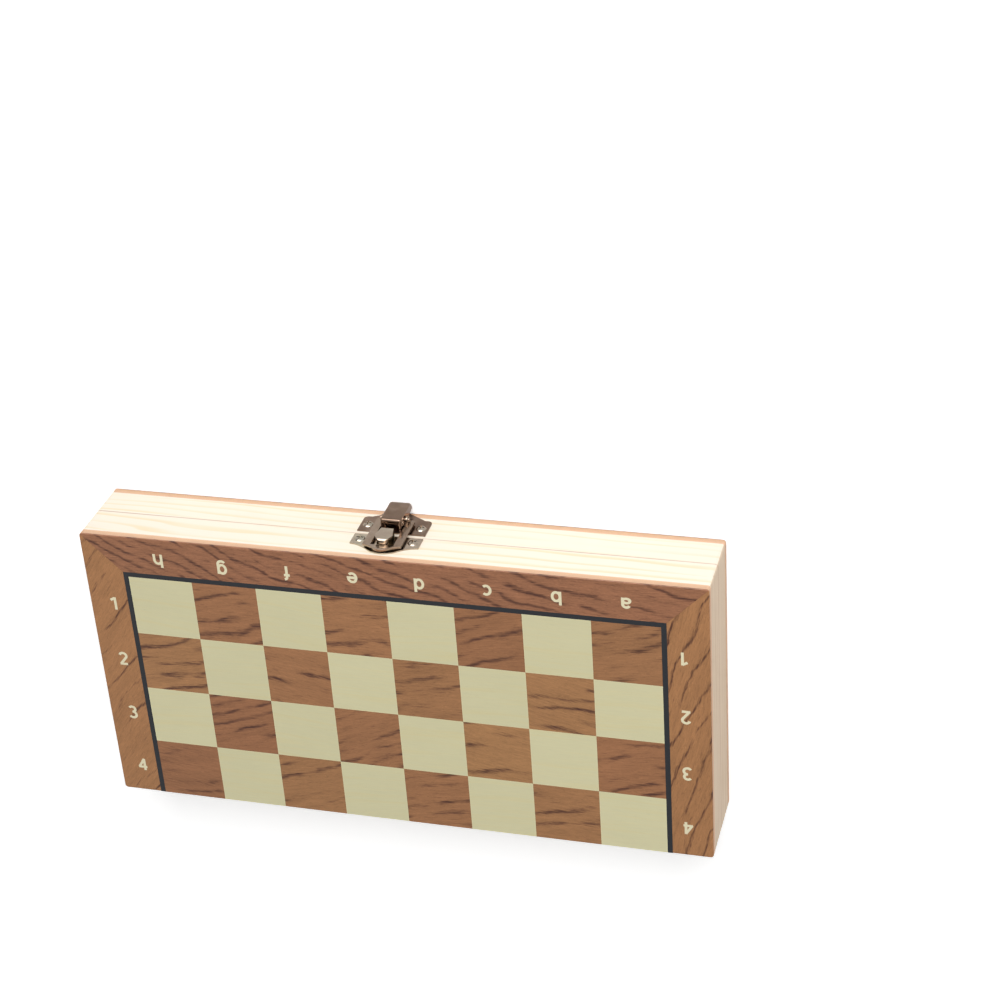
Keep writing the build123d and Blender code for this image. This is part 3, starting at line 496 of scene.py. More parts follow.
def turned_wood_finish(name, ground, grain, depth):
    """Varnished turned wood with its grain along the lying men."""
    finish, x, y, z = started(name)
    slow = finish.noise((x / 8, y / 34, z / 8))
    ring = (x * 0.8 + z * 0.6 + slow * 9) / 1.6
    edge = ring.fraction()
    line = finish.step(edge, 0.2, 0.85) * finish.step(edge, 0.88, 1.0, 1.0, 0.0)
    fibres = finish.noise((x / 0.22, y / 3, z / 0.22), 3, 0.6)
    pores = finish.spots((x / 0.18, y / 1.4, z / 0.18), 0.6, 0.72)
    value = 1.0 + (fibres - 0.5) * depth - pores * depth * 0.5
    mixed = finish.shade(finish.mix(line * 0.55, ground, grain), value)
    rough = 0.44 + fibres * 0.1
    return finish.surface(mixed, rough, fibres - pores, 0.015, Coat_Weight=0.2, Coat_Roughness=0.22)


def foam_finish(name, ground):
    """Closed-cell foam with a fine skin of pores."""
    finish, x, y, z = started(name)
    pores = finish.node("ShaderNodeTexVoronoi", {}, {"Vector": finish.join(x / 0.5, y / 0.5, z / 0.5)}, "Distance")
    clouds = finish.noise((x / 14, y / 14, z / 14), 3, 0.6)
    value = 0.85 + clouds * 0.3 + pores * 0.25
    skin = finish.shade(ground, value)
    return finish.surface(skin, 0.86, pores, 0.05, Sheen_Weight=0.25, Sheen_Roughness=0.5)


def felt_finish(name, ground):
    """Matted felt."""
    finish, x, y, z = started(name)
    hairs = finish.noise((x / 0.3, y / 0.3, z / 0.3), 4, 0.7, 1.5)
    pile = finish.shade(ground, 0.7 + hairs * 0.6)
    return finish.surface(pile, 0.95, hairs, 0.08, Sheen_Weight=0.5, Sheen_Roughness=0.4)


def print_finish(name, ground):
    """Cream print, a little worn."""
    finish, x, y, z = started(name)
    worn = finish.noise((x / 0.4, y / 0.4, z), 3, 0.6)
    return finish.done(Base_Color=finish.shade(ground, 0.92 + worn * 0.14), Roughness=0.5)


def mode(name):
    """Goes into edit mode, or back to object mode."""
    bpy.ops.object.mode_set(mode=name)


def primitive(add, **settings):
    """Adds a primitive, and goes into its edit mode."""
    bpy.ops.object.select_all(action="DESELECT")
    add(**settings)
    mode("EDIT")
    return bpy.context.active_object


def linked(name, data):
    """A new object in the scene."""
    thing = bpy.data.objects.new(name, data)
    bpy.context.scene.collection.objects.link(thing)
    return thing


def lone(thing):
    """Selects one object only, and makes it active."""
    bpy.ops.object.select_all(action="DESELECT")
    thing.select_set(True)
    bpy.context.view_layer.objects.active = thing
    return thing


def joined(things):
    """Several objects made one."""
    lone(things[0])
    for thing in things[1:]:
        thing.select_set(True)
    bpy.ops.object.join()
    return things[0]


def placed(thing, place):
    """A copy of a thing with a mesh of its own, put in its place."""
    copy = thing.copy()
    copy.data = thing.data.copy()
    copy.data.transform(place)
    bpy.context.scene.collection.objects.link(copy)
    return copy


def pick(thing, kind, chosen):
    """Selects the faces, edges or vertices that a test chooses, in edit mode."""
    bpy.ops.mesh.select_all(action="DESELECT")
    bpy.ops.mesh.select_mode(type=kind)
    mode("OBJECT")
    parts = {"FACE": thing.data.polygons, "EDGE": thing.data.edges, "VERT": thing.data.vertices}
    for part in parts[kind]:
        part.select = chosen(part)
    mode("EDIT")


def cleaned(thing):
    """Merges what lies on one point, and turns all faces outwards."""
    lone(thing)
    mode("EDIT")
    bpy.ops.mesh.select_all(action="SELECT")
    bpy.ops.mesh.remove_doubles(threshold=CLOSE)
    bpy.ops.mesh.normals_make_consistent(inside=False)
    mode("OBJECT")


def applied(thing, name, kind, **settings):
    """Adds a modifier and applies it."""
    lone(thing)
    modifier = thing.modifiers.new(name, kind)
    for setting, value in settings.items():
        setattr(modifier, setting, value)
    bpy.ops.object.modifier_apply(modifier=name)


def merged(thing, other, operation):
    """Unites a closed shape with another, or cuts the other out of it."""
    applied(thing, "merge", "BOOLEAN", operation=operation, object=other, solver="EXACT")
    bpy.data.objects.remove(other)
    return thing


def settle(thing, name, material, body):
    """Names a finished piece, gives it its material, and sets it on its body."""
    thing.name = name
    thing.data.name = name
    thing.data.materials.clear()
    thing.data.materials.append(material)
    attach(thing, body)
    return thing


def dress(node, material):
    """Gives a CAD node its finish."""
    for slot in frame["nodes"][node].material_slots:
        slot.material = material


def node_copy(node):
    """A merged copy of a CAD node, to be finished in its place."""
    lone(frame["nodes"][node])
    bpy.ops.object.duplicate()
    piece = bpy.context.active_object
    del piece["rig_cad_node"]
    bpy.ops.mesh.customdata_custom_splitnormals_clear()
    mode("EDIT")
    bpy.ops.mesh.select_all(action="SELECT")
    bpy.ops.mesh.remove_doubles(threshold=EPSILON)
    bpy.ops.mesh.dissolve_limited(angle_limit=FLAT)
    mode("OBJECT")
    return piece


def stand_in(piece, node, material):
    """Sets a finished copy in its node's place."""
    body = piece["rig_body"]
    settle(piece, f"{node}_finished", material, body)
    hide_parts(node)


def softened(node, softness, material, segments=2):
    """Replaces a CAD node by a copy whose edges are rounded."""
    piece = node_copy(node)
    bpy.ops.object.shade_smooth_by_angle(angle=EDGE_ANGLE)
    applied(piece, "edges", "BEVEL", width=softness, segments=segments, limit_method="ANGLE",
            angle_limit=EDGE_ANGLE, harden_normals=True)
    stand_in(piece, node, material)


def sanded_border(side, softness, material):
    """Replaces a border by a copy whose strips are one closed shape, with its outer edge sanded round."""
    node = f"{side}_border_veneer"
    piece = node_copy(node)
    mode("EDIT")
    bpy.ops.mesh.select_all(action="DESELECT")
    bpy.ops.mesh.select_interior_faces()
    bpy.ops.mesh.delete(type="FACE")

    def outside(point):
        x, y, z = point
        at_face = abs(z - FACE[side]) < EPSILON
        at_rim = abs(x) > CASE_HIGH.x - CORNER_REACH or y < CASE_LOW.y + CORNER_REACH or y > CASE_HIGH.y - EPSILON
        return at_face and at_rim

    def along_rim(first, second):
        level = min(abs(first.x - second.x), abs(first.y - second.y)) < EPSILON
        at_corner = max(abs(first.x), abs(second.x)) > CASE_HIGH.x - CORNER_REACH
        return level or at_corner and (first - second).length < CORNER_REACH

    def sanded(edge):
        first, second = (piece.data.vertices[index].co for index in edge.vertices)
        return outside(first) and outside(second) and along_rim(first, second)

    pick(piece, "EDGE", sanded)
    bpy.ops.transform.edge_bevelweight(value=1.0)
    mode("OBJECT")
    bpy.ops.object.shade_smooth_by_angle(angle=EDGE_ANGLE)
    applied(piece, "edges", "BEVEL", width=softness, segments=2, limit_method="WEIGHT", harden_normals=True)
    stand_in(piece, node, material)


# Degrees from point to point of a curved stroke
ARC_STEP = 12


def line(*points):
    """A straight stroke through some points."""
    return [points]


def arc(x, y, wide, tall, start, end):
    """A stroke round a centre, between two angles in degrees, anticlockwise from the right."""
    count = max(6, int(abs(end - start) / ARC_STEP))
    angles = [radians(start + (end - start) * step / count) for step in range(count + 1)]
    return [[(x + wide * cos(angle), y + tall * sin(angle)) for angle in angles]]


# Strokes of a plain round lettering; a small letter without a stem is one unit high
STEM = 1.3
STROKES = {
    "a": arc(0.4, 0.62, 0.28, 0.29, 155, 0) + line((0.68, 0.64), (0.68, 0)) + arc(0.38, 0.29, 0.3, 0.2, 0, 360),
    "b": line((0.1, 0), (0.1, STEM)) + arc(0.42, 0.5, 0.32, 0.41, 0, 360),
    "c": arc(0.43, 0.5, 0.34, 0.41, 48, 312),
    "d": line((0.74, 0), (0.74, STEM)) + arc(0.42, 0.5, 0.32, 0.41, 0, 360),
    "e": line((0.12, 0.5), (0.88, 0.5)) + arc(0.43, 0.5, 0.34, 0.41, 0, 316),
    "f": line((0.3, 0), (0.3, 1.06)) + arc(0.52, 1.04, 0.22, 0.24, 184, 90) + line((0.05, 0.88), (0.56, 0.88)),
    "g": (arc(0.42, 0.86, 0.32, 0.41, 0, 360) + line((0.74, 1.34), (0.74, 0.34))
          + arc(0.43, 0.36, 0.31, 0.27, 4, -150)),
    "h": line((0.1, 0), (0.1, STEM)) + arc(0.41, 0.58, 0.31, 0.34, 184, -4) + line((0.72, 0.6), (0.72, 0)),
    "1": line((0.5, 0), (0.5, STEM)) + line((0.5, 1.23), (0.08, 0.98)),
    "2": arc(0.42, 0.97, 0.32, 0.31, 165, -38) + line((0.7, 0.82), (0.12, 0.1)) + line((0.04, 0.1), (0.78, 0.1)),
    "3": arc(0.4, 1.0, 0.29, 0.28, 150, -95) + arc(0.4, 0.4, 0.33, 0.32, 95, -150),
    "4": line((0.64, 1.29), (0.06, 0.35)) + line((0.0, 0.38), (0.84, 0.38)) + line((0.62, 0), (0.62, STEM)),
    "5": line((0.74, 1.27), (0.14, 1.27)) + line((0.2, 1.3), (0.15, 0.7)) + arc(0.4, 0.47, 0.34, 0.38, 140, -150),
    "6": arc(0.42, 0.44, 0.33, 0.36, 0, 360) + arc(0.62, 0.5, 0.53, 0.79, 185, 97),
    "7": line((0.06, 1.27), (0.8, 1.27)) + line((0.76, 1.32), (0.32, 0)),
    "8": arc(0.42, 0.99, 0.28, 0.29, 0, 360) + arc(0.42, 0.4, 0.34, 0.34, 0, 360),
}


def stroke_solid(points, stroke, thickness):
    """One stroke of a character as a thin closed solid."""
    pen = bpy.data.curves.new("pen", "CURVE")
    edge = pen.splines.new("POLY")
    edge.points.add(3)
    edge.use_cyclic_u = True
    for point, (across, up) in zip(edge.points, ((-1, -1), (1, -1), (1, 1), (-1, 1))):
        point.co = (across * stroke / 2, up * thickness / 2, 0, 1)
    pen_object = linked("pen", pen)
    curve = bpy.data.curves.new("stroke", "CURVE")
    curve.dimensions = "2D"
    curve.bevel_mode = "OBJECT"
    curve.bevel_object = pen_object
    curve.use_fill_caps = True
    closed = len(points) > 3 and (Vector(points[0]) - Vector(points[-1])).length < EPSILON
    spline = curve.splines.new("POLY")
    spline.points.add(len(points) - (2 if closed else 1))
    spline.use_cyclic_u = closed
    for point, (x, y) in zip(spline.points, points):
        point.co = (x, y, 0, 1)
    lone(linked("stroke", curve))
    bpy.ops.object.convert(target="MESH")
    solid = bpy.context.active_object
    bpy.data.objects.remove(pen_object)
    cleaned(solid)
    return solid


def character_shape(character, stroke, thickness):
    """One printed character, a small letter being one unit high: a letter's foot or a number's middle is at zero."""
    shape = None
    for points in STROKES[character]:
        solid = stroke_solid(points, stroke, thickness)
        shape = solid if shape is None else merged(shape, solid, "UNION")
    xs = [vertex.co.x for vertex in shape.data.vertices]
    ys = [vertex.co.y for vertex in shape.data.vertices]
    foot = (min(ys) + max(ys)) / 2 if character.isdigit() else min(ys)
    shape.data.transform(Matrix.Translation((-(min(xs) + max(xs)) / 2, -foot, 0)))
    return shape


def bend(start, middle, end, count):
    """Points of a smooth bend, without its start."""
    first, second, third = Vector(start), Vector(middle), Vector(end)
    shares = [step / count for step in range(1, count + 1)]
    return [tuple(first.lerp(second, share).lerp(second.lerp(third, share), share)) for share in shares]


def carry_on(outline, middle, end, count):
    """Carries an outline on from its last point in a smooth bend."""
    outline += bend(outline[-1], middle, end, count)


def ball_outline(centre, radius, start, count=9):
    """Outline of a ball from an angle below its middle to its top, in degrees."""
    angles = [radians(start + (88 - start) * step / count) for step in range(count + 1)]
    return [(radius * cos(angle), centre + radius * sin(angle)) for angle in angles]


def turned(outline, closed=False):
    """A form turned on the lathe: a disc drawn up through the radii and heights of its outline, in millimetres."""
    radius, height = outline[0]
    form = primitive(bpy.ops.mesh.primitive_circle_add, vertices=LATHE_SIDES, radius=radius, fill_type="NGON")
    bpy.ops.transform.translate(value=(0, 0, height))
    for wide, high in outline[1:]:
        bpy.ops.mesh.extrude_region_move(TRANSFORM_OT_translate={"value": (0, 0, high - height)})
        bpy.ops.transform.resize(value=(wide / radius, wide / radius, 1), center_override=(0, 0, high))
        radius, height = wide, high
    if closed:
        bpy.ops.mesh.merge(type="CENTER")
    return form


def smoothed(form, angle=TURNED_EDGE):
    """Ends the shaping of a form: faces outwards, smooth but for its sharp edges."""
    mode("OBJECT")
    cleaned(form)
    bpy.ops.object.shade_smooth_by_angle(angle=angle)
    return form


def carved(form):
    """Ends the shaping of a carved form: rounded all over."""
    mode("OBJECT")
    applied(form, "round", "SUBSURF", levels=2, render_levels=2)
    return smoothed(form, CARVED_EDGE)


# The magnet's hole under each man, and his collar, in millimetres as all of his shape
HOLE_RADIUS = 4.05
HOLE_DEPTH = 3.05
COLLAR_HEIGHT = 1.3


def foot_and_stem(foot, neck, neck_height, collar):
    """Outline of a man up to his head: magnet hole, stepped foot, hollow stem and collar."""
    step = foot - 1.5
    top = neck_height + COLLAR_HEIGHT
    outline = [(HOLE_RADIUS, HOLE_DEPTH), (HOLE_RADIUS, 0.02)]
    outline += [(foot - 0.25, 0.0), (foot - 0.07, 0.07), (foot, 0.25), (foot, 1.7)]
    carry_on(outline, (foot, 3.0), (step, 3.1), 5)
    outline += [(step - 0.1, 3.2), (step - 0.1, 3.4)]
    carry_on(outline, (step + 0.5, 3.8), (step - 0.3, 4.2), 4)
    outline += [(step - 0.55, 4.3)]
    hollow = 4.3 + (neck_height - 4.3) * 0.3
    carry_on(outline, (neck + 0.1, hollow), (neck, neck_height - 0.6), 10)
    ring = collar - 0.85
    outline += [(ring - 0.15, neck_height - 0.45), (ring, neck_height - 0.3), (ring, neck_height - 0.1)]
    outline += [(collar - 1.1, neck_height)]
    carry_on(outline, (collar + 1.0, neck_height + 0.65), (collar - 1.1, top), 6)
    outline += [(neck, top + 0.1)]
    return outline


def pawn():
    """A ball on a short stem."""
    stem = foot_and_stem(foot=5.5, neck=2.0, neck_height=16.4, collar=3.6)
    return smoothed(turned(stem + ball_outline(20.5, 3.5, -51), closed=True))


def rook():
    """A tower with a hollow top and four notches."""
    wall, well, top = 4.2, 2.8, 25.6
    half_notch, notch_depth = 15, 1.4
    outline = foot_and_stem(foot=5.8, neck=2.9, neck_height=15.8, collar=4.2)
    carry_on(outline, (3.0, 18.9), (3.9, 19.4), 5)
    outline += [(wall, 19.6), (wall, 20.7), (wall - 0.2, 20.85), (wall - 0.2, 21.05), (wall, 21.2)]
    outline += [(wall, top), (well, top), (well, top - 1.3)]
    form = turned(outline)

    def merlon(face):
        x, y, z = face.center
        angle = degrees(atan2(y, x)) % 90
        return z > top - 0.1 and half_notch < angle < 90 - half_notch

    pick(form, "FACE", merlon)
    bpy.ops.mesh.extrude_region_move(TRANSFORM_OT_translate={"value": (0, 0, notch_depth)})
    return smoothed(form)


def knight():
    """A horse's head with ears, mane, eyes and mouth on a turned foot."""
    foot = smoothed(turned(foot_and_stem(foot=5.8, neck=3.6, neck_height=16.6, collar=4.7)))
    low = 17.6
    # Each section's place forwards and up, half length, half thickness and tilt in degrees
    sections = [
        (-0.1, 0.0, 3.5, 2.7, 0), (-0.2, 1.2, 3.4, 2.6, 0), (-0.9, 3.4, 2.9, 2.4, -8), (-1.4, 5.8, 3.1, 2.3, 10),
        (-1.0, 8.2, 3.3, 2.2, 40), (0.8, 8.3, 2.8, 2.1, 75), (2.5, 7.4, 2.1, 1.7, 103), (3.8, 6.7, 1.6, 1.45, 113),
        (4.7, 6.3, 1.2, 1.15, 118),
    ]
    head = primitive(bpy.ops.mesh.primitive_circle_add, vertices=8, radius=1, fill_type="NGON")
    x, z, length, thickness, tilt = sections[0]
    bpy.ops.transform.resize(value=(length, thickness, 1), center_override=ORIGIN)
    bpy.ops.transform.translate(value=(x, 0, low + z))
    for section in sections[1:]:
        centre = (x, 0, low + z)
        bpy.ops.mesh.extrude_region_move(TRANSFORM_OT_translate={"value": (0, 0, 0)})
        bpy.ops.transform.rotate(value=radians(tilt), orient_axis="Y", center_override=centre)
        new_x, new_z, new_length, new_thickness, new_tilt = section
        size = (new_length / length, new_thickness / thickness, 1)
        bpy.ops.transform.resize(value=size, center_override=centre)
        bpy.ops.transform.rotate(value=-radians(new_tilt), orient_axis="Y", center_override=centre)
        bpy.ops.transform.translate(value=(new_x - x, 0, new_z - z))
        x, z, length, thickness, tilt = section
    parts = [foot, carved(head)]
    for side in (-1, 1):
        parts.append(rounded_lump((-0.9, side * 0.95, low + 11.0), (0.62, 0.5, 1.5), -12))
        parts.append(rounded_lump((1.3, side * 1.72, low + 8.9), (0.5, 0.32, 0.42), 20))
        parts.append(rounded_lump((4.6, side * 0.75, low + 6.9), (0.34, 0.3, 0.3), 0))
    locks = bend((-3.5, 1.6), (-5.3, 6.6), (-1.6, 11.2), 9)
    for number, (lock_x, lock_z) in enumerate(locks):
        parts.append(rounded_lump((lock_x, 0, low + lock_z), (1.2, 0.75, 0.62), 62 - number * 12))
    return joined(parts)


def rounded_lump(spot, size, tilt):
    """A carved lump: an egg drawn out of a cube and tilted forwards."""
    lump = primitive(bpy.ops.mesh.primitive_cube_add, size=2)
    bpy.ops.transform.resize(value=size, center_override=ORIGIN)
    pick(lump, "FACE", lambda face: face.normal.z > 0.9)
    bpy.ops.transform.resize(value=(0.6, 0.6, 1), center_override=ORIGIN)
    bpy.ops.mesh.select_all(action="SELECT")
    bpy.ops.transform.rotate(value=-radians(tilt), orient_axis="Y", center_override=ORIGIN)
    bpy.ops.transform.translate(value=spot)
    return carved(lump)


def bishop():
    """A pointed egg with a slanting cut and a bead on top."""
    outline = foot_and_stem(foot=5.8, neck=2.1, neck_height=19.5, collar=3.7)
    carry_on(outline, (3.5, 21.4), (3.65, 24.0), 7)
    carry_on(outline, (3.7, 27.2), (2.2, 30.2), 7)
    carry_on(outline, (1.4, 31.7), (0.55, 32.1), 5)
    form = smoothed(turned(outline + ball_outline(33.0, 1.0, -62, 7), closed=True))
    saw = primitive(bpy.ops.mesh.primitive_cube_add, size=1)
    bpy.ops.transform.resize(value=(4.0, 9.0, 0.7), center_override=ORIGIN)
    bpy.ops.transform.rotate(value=-radians(35), orient_axis="Y", center_override=ORIGIN)
    bpy.ops.transform.translate(value=(2.5, 0, 29.6))
    mode("OBJECT")
    return smoothed(merged(form, saw, "DIFFERENCE"))


def queen():
    """A flared cup with a scalloped rim and a ball inside it."""
    rim, dips = 38.2, 8
    outline = foot_and_stem(foot=6.2, neck=2.4, neck_height=25.0, collar=4.1)
    carry_on(outline, (2.3, 32.5), (3.9, 36.2), 10)
    outline += [(4.1, 36.4), (4.1, 36.7), (3.95, 36.85), (4.4, rim), (3.75, rim), (3.4, 36.9)]
    carry_on(outline, (2.4, 37.7), (0.9, 37.9), 5)
    form = turned(outline + ball_outline(38.8, 1.2, -45, 8), closed=True)
    span = LATHE_SIDES // dips
    depths = {1: 0.35, 2: 0.85, 3: 1.05}
    for place, depth in depths.items():

        def in_dip(vertex):
            x, y, z = vertex.co
            steps = round(degrees(atan2(y, x)) / 360 * LATHE_SIDES) % span
            return abs(z - rim) < 0.01 and min(steps, span - steps) == place

        pick(form, "VERT", in_dip)
        bpy.ops.transform.translate(value=(0, 0, -depth))
    return smoothed(form)


def king():
    """A flared crown with a rim, a low dome and an upright cross with widening arms."""
    outline = foot_and_stem(foot=6.2, neck=2.5, neck_height=27.0, collar=4.2)
    carry_on(outline, (2.3, 34.0), (3.8, 37.0), 10)
    outline += [(4.0, 37.2), (4.3, 37.35), (4.3, 38.1), (4.1, 38.3), (3.7, 38.35)]
    carry_on(outline, (2.9, 39.9), (0.8, 40.2), 7)
    crown = smoothed(turned(outline))
    half, middle, widening = 0.55, Vector((0, 0, 42.9)), 1.55
    cross = primitive(bpy.ops.mesh.primitive_cube_add, size=half * 2)
    bpy.ops.transform.translate(value=middle)
    for way, reach in (((1, 0, 0), 1.3), ((-1, 0, 0), 1.3), ((0, 0, 1), 1.55), ((0, 0, -1), 2.3)):
        heading = Vector(way)

        def facing(face):
            return face.normal.dot(heading) > 0.9 and (face.center - middle).dot(heading) > half - 0.1

        pick(cross, "FACE", facing)
        bpy.ops.mesh.extrude_region_move(TRANSFORM_OT_translate={"value": heading * reach})
        spread = (1, 1, widening) if way[0] else (widening, 1, 1)
        bpy.ops.transform.resize(value=spread, center_override=middle + heading * (half + reach))
    mode("OBJECT")
    applied(cross, "edges", "BEVEL", width=0.16, segments=2, limit_method="ANGLE", angle_limit=EDGE_ANGLE)
    return joined([crown, smoothed(cross)])


MEN = {"king": (king, 1), "queen": (queen, 1), "bishops": (bishop, 2), "knights": (knight, 2),
       "rooks": (rook, 2), "pawns": (pawn, 8)}


# Direction of each rail's grain, and its place in the plank
RAILS = {"latch": (0, 1), "hinge": (0, 4), "left": (pi / 2, 2), "right": (pi / 2, 3)}


class CHESS_OT_case(bpy.types.Operator):
    """Sand and varnish the rails and the back panels"""

    bl_idname = "chess.case"
    bl_label = "Case"

    def execute(self, context):
        tones = context.scene.chess_wood
        plywood = plywood_finish("plywood", tones)
        pines = {}
        for name, (angle, seed) in RAILS.items():
            # The end rails take the painted shaded copy of the pine, the long rails the painted lit copy
            wood, rings = (tones.shaded_end_pine, tones.shaded_end_ring) if angle else (tones.pine, tones.lit_pine_ring)
            pines[name] = pine_finish(f"pine_{name}", wood, rings, tones.seam_dirt_and_shade, angle, seed)
        for side in SIDES:
            dress(f"{side}_board_core", plywood)
            for name, pine in pines.items():
                softened(f"{side}_{name}_rail", tones.softness, pine)
        return {"FINISHED"}


class CHESS_OT_board(bpy.types.Operator):
    """Lay the veneers: squares, black line and border"""

    bl_idname = "chess.board"
    bl_label = "Board"

    def execute(self, context):
        tones = context.scene.chess_wood
        black = line_finish("black_line", tones)
        border = border_finish("border_veneer", tones)
        for side in SIDES:
            for shade in ("dark", "light"):
                dress(f"{side}_{shade}_squares", square_veneer(tones, shade, side))
            dress(f"{side}_ring_line", black)
            sanded_border(side, tones.softness, border)
        return {"FINISHED"}


class CHESS_OT_metal(bpy.types.Operator):
    """Plate the latch, hinges and screws, and finish the steel sheets"""

    bl_idname = "chess.metal"
    bl_label = "Latch, hinges and screws"

    def execute(self, context):
        tones = context.scene.chess_metal
        nickel = metal_finish("nickel", tones.nickel, tones.tarnish, 0.14)
        # The lever and its plate take a darker copy of the nickel: painted shade
        shaded_lever_plating = metal_finish("old_nickel", tones.old_nickel, tones.shaded_lever_tarnish, 0.12)
        # The hook plate takes a paler copy of the nickel: painted reflection
        lit_hook_plating = metal_finish("bright_nickel", tones.bright_nickel, tones.nickel, 0.12)
        hinge = metal_finish("hinge_nickel", tones.nickel, tones.tarnish, 0.32)
        screw = metal_finish("screw_heads", tones.screw, tones.nickel, 0.12)
        steel = metal_finish("steel", tones.steel, tones.steel, 0.35)
        for node in frame["nodes"]:
            if "screws" in node:
                dress(node, screw)
            elif node.startswith("latch_") and "rail" not in node:
                plating = {"latch_lever": shaded_lever_plating, "latch_lever_plate": shaded_lever_plating, "latch_hook_plate": lit_hook_plating}
                softened(node, tones.softness, plating.get(node, nickel), 3)
            elif "_hinge_" in node and "rail" not in node:
                softened(node, tones.softness, hinge)
        for side in SIDES:
            dress(f"{side}_steel_sheet", steel)
        return {"FINISHED"}


class CHESS_OT_trays(bpy.types.Operator):
    """Cut the foam trays, and finish the magnets and felts of the men"""

    bl_idname = "chess.trays"
    bl_label = "Trays, magnets and felts"

    def execute(self, context):
        tones = context.scene.chess_game
        foam, felt = foam_finish("foam", tones.foam), felt_finish("felt", tones.felt)
        steel = context.scene.chess_metal.steel
        magnet = metal_finish("magnet", steel, steel, 0.25)
        for side, shade in MEN_OF.items():
            softened(f"{side}_foam_tray", tones.foam_edge, foam)
            dress(f"{shade}_piece_felts", felt)
            dress(f"{shade}_piece_magnets", magnet)
        return {"FINISHED"}


class CHESS_OT_men(bpy.types.Operator):
    """Turn and carve the men, and lay them in their trays"""

    bl_idname = "chess.men"
    bl_label = "Men"

    def execute(self, context):
        tones = context.scene.chess_game
        woods = {
            "light": turned_wood_finish("light_wood", tones.light_wood, tones.light_grain, 0.2),
            "dark": turned_wood_finish("dark_wood", tones.dark_wood, tones.dark_grain, 0.5),
        }
        for kind, (model, count) in MEN.items():
            man = model()
            for side, shade in MEN_OF.items():
                node = f"{shade}_{kind}"
                laid = [placed(man, place) for place in self.places(node, kind, count)]
                piece = settle(joined(laid), f"{node}_turned", woods[shade], BODY[side])
                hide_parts(node)
            bpy.data.objects.remove(man)
        return {"FINISHED"}

    def places(self, node, kind, count):
        """How each of a node's men is laid down from standing at the origin."""
        low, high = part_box(node)
        radius = (high[2] - low[2]) / 2
        first, last = low[0] + radius, high[0] - radius
        feet, turn = (high[1], pi / 2) if kind == "pawns" else (low[1], -pi / 2)
        for number in range(count):
            share = number / (count - 1) if count > 1 else 0.5
            spot = (first + (last - first) * share, feet, low[2] + radius)
            yield Matrix.Translation(spot) @ Matrix.Rotation(turn, 4, "X") @ Matrix.Scale(MM, 4)


class CHESS_OT_marks(bpy.types.Operator):
    """Print the letters and numbers on both borders"""

    bl_idname = "chess.marks"
    bl_label = "Letters and numbers"

    def execute(self, context):
        marks = context.scene.chess_marks
        ink = print_finish("lettering", marks.ink)
        units = {character: marks.digit_height / STEM if character.isdigit() else marks.letter_height
                 for character in STROKES}
        shapes = {character: character_shape(character, marks.stroke / unit, marks.thickness / unit)
                  for character, unit in units.items()}
        for side in SIDES:
            flip = 1 if side == "upper" else -1
            printed = []
            for character, spot, turn in self.spots(side, marks):
                unit = units[character]
                place = Matrix.Translation((spot.x, spot.y, FACE[side] + flip * marks.thickness / 2))
                place = place @ Matrix.Rotation(turn, 4, "Z") @ Matrix.Diagonal((unit * flip, unit, unit * flip, 1))
                printed.append(placed(shapes[character], place))
            lettering = joined(printed)
            bpy.ops.object.shade_flat()
            settle(lettering, f"{side}_lettering", ink, BODY[side])
        for shape in shapes.values():
            bpy.data.objects.remove(shape)
        return {"FINISHED"}

    def spots(self, side, marks):
        """Each character of one half with its place and turn."""
        for number, letter in enumerate(FILES):
            x = PLAY_LOW.x + (number + 0.5) * SQUARE - marks.letter_shift
            yield letter, Vector((x, CASE_LOW.y + marks.letter_foot)), 0
        for number, digit in enumerate(RANKS[side]):
            y = PLAY_LOW.y + (number + 0.5) * SQUARE
            for end in (-1, 1):
                turned_round = (end > 0) == (side == "upper")
                x = end * (CASE_HIGH.x - marks.digit_margin)
                yield digit, Vector((x, y)), pi if turned_round else 0


# Place and size of each lamp
LAMPS = {"key": ((-0.25, -1.15, 0.95), 1.1), "fill": ((-1.3, 0.35, 0.55), 0.9), "back": ((1.3, 1.0, 0.5), 0.9)}

# Direction and brightness of the wide and the small panel that metal mirrors, and what it sees elsewhere
WIDE_PANEL, WIDE_GLOW = (-0.25, -0.72, 0.64), 3.5
SMALL_PANEL, SMALL_GLOW = (0.3, -0.8, 0.52), 9
DIM_GLOW = 0.3

# The floor's side, and its gap under the case, in metres
FLOOR_SIZE, FLOOR_GAP = 40, 0.1 * MM

# Camera at the photograph's angle: its place in metres, its axes, and its lens in millimetres
CAMERA_SPOT = -0.24084, -0.48009, 0.67086
CAMERA_RIGHT = -0.96445, 0.06165, -0.25696
CAMERA_UP = 0.07908, -0.86051, -0.50326
CAMERA_LENS = 79.37
CAMERA_SENSOR = 36


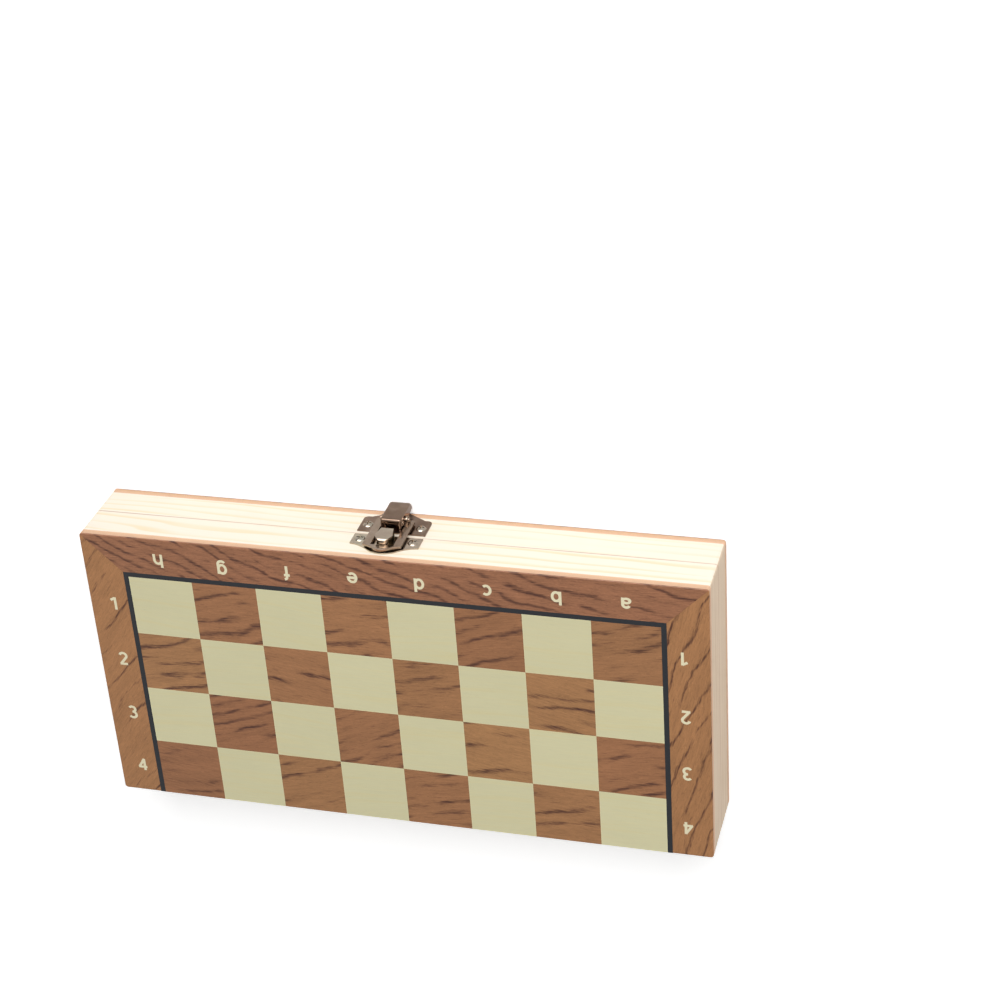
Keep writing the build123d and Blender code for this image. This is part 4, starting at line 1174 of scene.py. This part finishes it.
class CHESS_OT_stage(bpy.types.Operator):
    """Set up the floor, the soft lamps and the camera"""

    bl_idname = "chess.stage"
    bl_label = "Stage"

    def execute(self, context):
        scene = context.scene
        tones = scene.chess_stage
        scene.view_settings.view_transform = "Standard"
        self.floor(tones)
        for name, (spot, size) in LAMPS.items():
            self.lamp(f"{name}_lamp", spot, size, getattr(tones, name))
        self.surround(scene, tones)
        self.camera(scene)
        return {"FINISHED"}

    def floor(self, tones):
        """A plain floor that the camera sees white, with the object's shadow on it."""
        bpy.ops.object.select_all(action="DESELECT")
        bpy.ops.mesh.primitive_plane_add(size=FLOOR_SIZE, location=(0, 0, -FLOOR_GAP))
        floor = bpy.context.active_object
        floor.name = "floor"
        finish = Finish("floor")
        camera = finish.node("ShaderNodeLightPath", {}, {}, "Is Camera Ray")
        plain = finish.mix(camera, tones.floor, (1.0, 1.0, 1.0))
        place = finish.node("ShaderNodeTexCoord", {}, {}, "Object")
        near = finish.step(finish.vector("LENGTH", place, output="Value"), 0.4, 3, tones.glow, 1.0)
        glow = finish.mix(camera, (0.0, 0.0, 0.0), finish.join(near, near, near))
        floor.data.materials.append(finish.done(Base_Color=plain, Roughness=0.9, Specular_IOR_Level=0.0,
                                                Emission_Color=glow, Emission_Strength=1.0))

    def lamp(self, name, spot, size, power):
        data = bpy.data.lights.new(name, "AREA")
        data.shape = "DISK"
        data.size = size
        data.energy = power
        lamp = linked(name, data)
        lamp.location = spot
        lamp.rotation_euler = (-Vector(spot)).to_track_quat("-Z", "Y").to_euler()

    def surround(self, scene, tones):
        """Even light all round, which the camera sees white and metal sees as a wide and a small panel."""
        world = bpy.data.worlds.new("surround")
        world.use_nodes = True
        scene.world = world
        finish = Finish(world)
        heading = finish.node("ShaderNodeTexCoord", {}, {}, "Generated")
        wide = finish.vector("DOT_PRODUCT", heading, WIDE_PANEL, output="Value")
        small = finish.vector("DOT_PRODUCT", heading, SMALL_PANEL, output="Value")
        glint = finish.step(small, 0.92, 0.985, 0.0, tones.sky * SMALL_GLOW)
        panels = finish.step(wide, 0.25, 0.85, tones.sky * DIM_GLOW, tones.sky * WIDE_GLOW) + glint
        camera = finish.node("ShaderNodeLightPath", {}, {}, "Is Camera Ray")
        glossy = finish.node("ShaderNodeLightPath", {}, {}, "Is Glossy Ray")
        seen = tones.sky * (1 - glossy) + panels * glossy
        strength = seen * (1 - camera) + camera
        background = finish.node("ShaderNodeBackground", {}, {"Color": (1.0, 1.0, 1.0), "Strength": strength})
        finish.end("ShaderNodeOutputWorld", background)

    def camera(self, scene):
        data = bpy.data.cameras.new("camera")
        data.lens = CAMERA_LENS
        data.sensor_width = CAMERA_SENSOR
        camera = linked("camera", data)
        right, up = Vector(CAMERA_RIGHT), Vector(CAMERA_UP)
        axes = Matrix((right, up, right.cross(up))).transposed().to_4x4()
        camera.matrix_world = Matrix.Translation(CAMERA_SPOT) @ axes
        scene.camera = camera


class CHESS_PT_builder(bpy.types.Panel):
    """Buttons for every piece of the set"""

    bl_label = "Chess set"
    bl_idname = "CHESS_PT_builder"
    bl_space_type = "VIEW_3D"
    bl_region_type = "UI"
    bl_category = "Chess set"

    def draw(self, context):
        for operator in OPERATORS:
            self.layout.operator(operator.bl_idname)


OPERATORS = (CHESS_OT_case, CHESS_OT_board, CHESS_OT_metal, CHESS_OT_trays, CHESS_OT_men, CHESS_OT_marks,
             CHESS_OT_stage)
GROUPS = {
    "chess_wood": WoodProperties,
    "chess_marks": MarkProperties,
    "chess_metal": MetalProperties,
    "chess_game": GameProperties,
    "chess_stage": StageProperties,
}


CLASSES = (*GROUPS.values(), *OPERATORS, CHESS_PT_builder)


def register():
    for kind in CLASSES:
        bpy.utils.register_class(kind)
    for name, group in GROUPS.items():
        setattr(bpy.types.Scene, name, PointerProperty(type=group))


def unregister():
    for name in GROUPS:
        delattr(bpy.types.Scene, name)
    for kind in reversed(CLASSES):
        bpy.utils.unregister_class(kind)


def main():
    register()
    bpy.ops.chess.case()
    bpy.ops.chess.board()
    bpy.ops.chess.metal()
    bpy.ops.chess.trays()
    bpy.ops.chess.men()
    bpy.ops.chess.marks()
    bpy.ops.chess.stage()


if __name__ == "__main__":
    main()
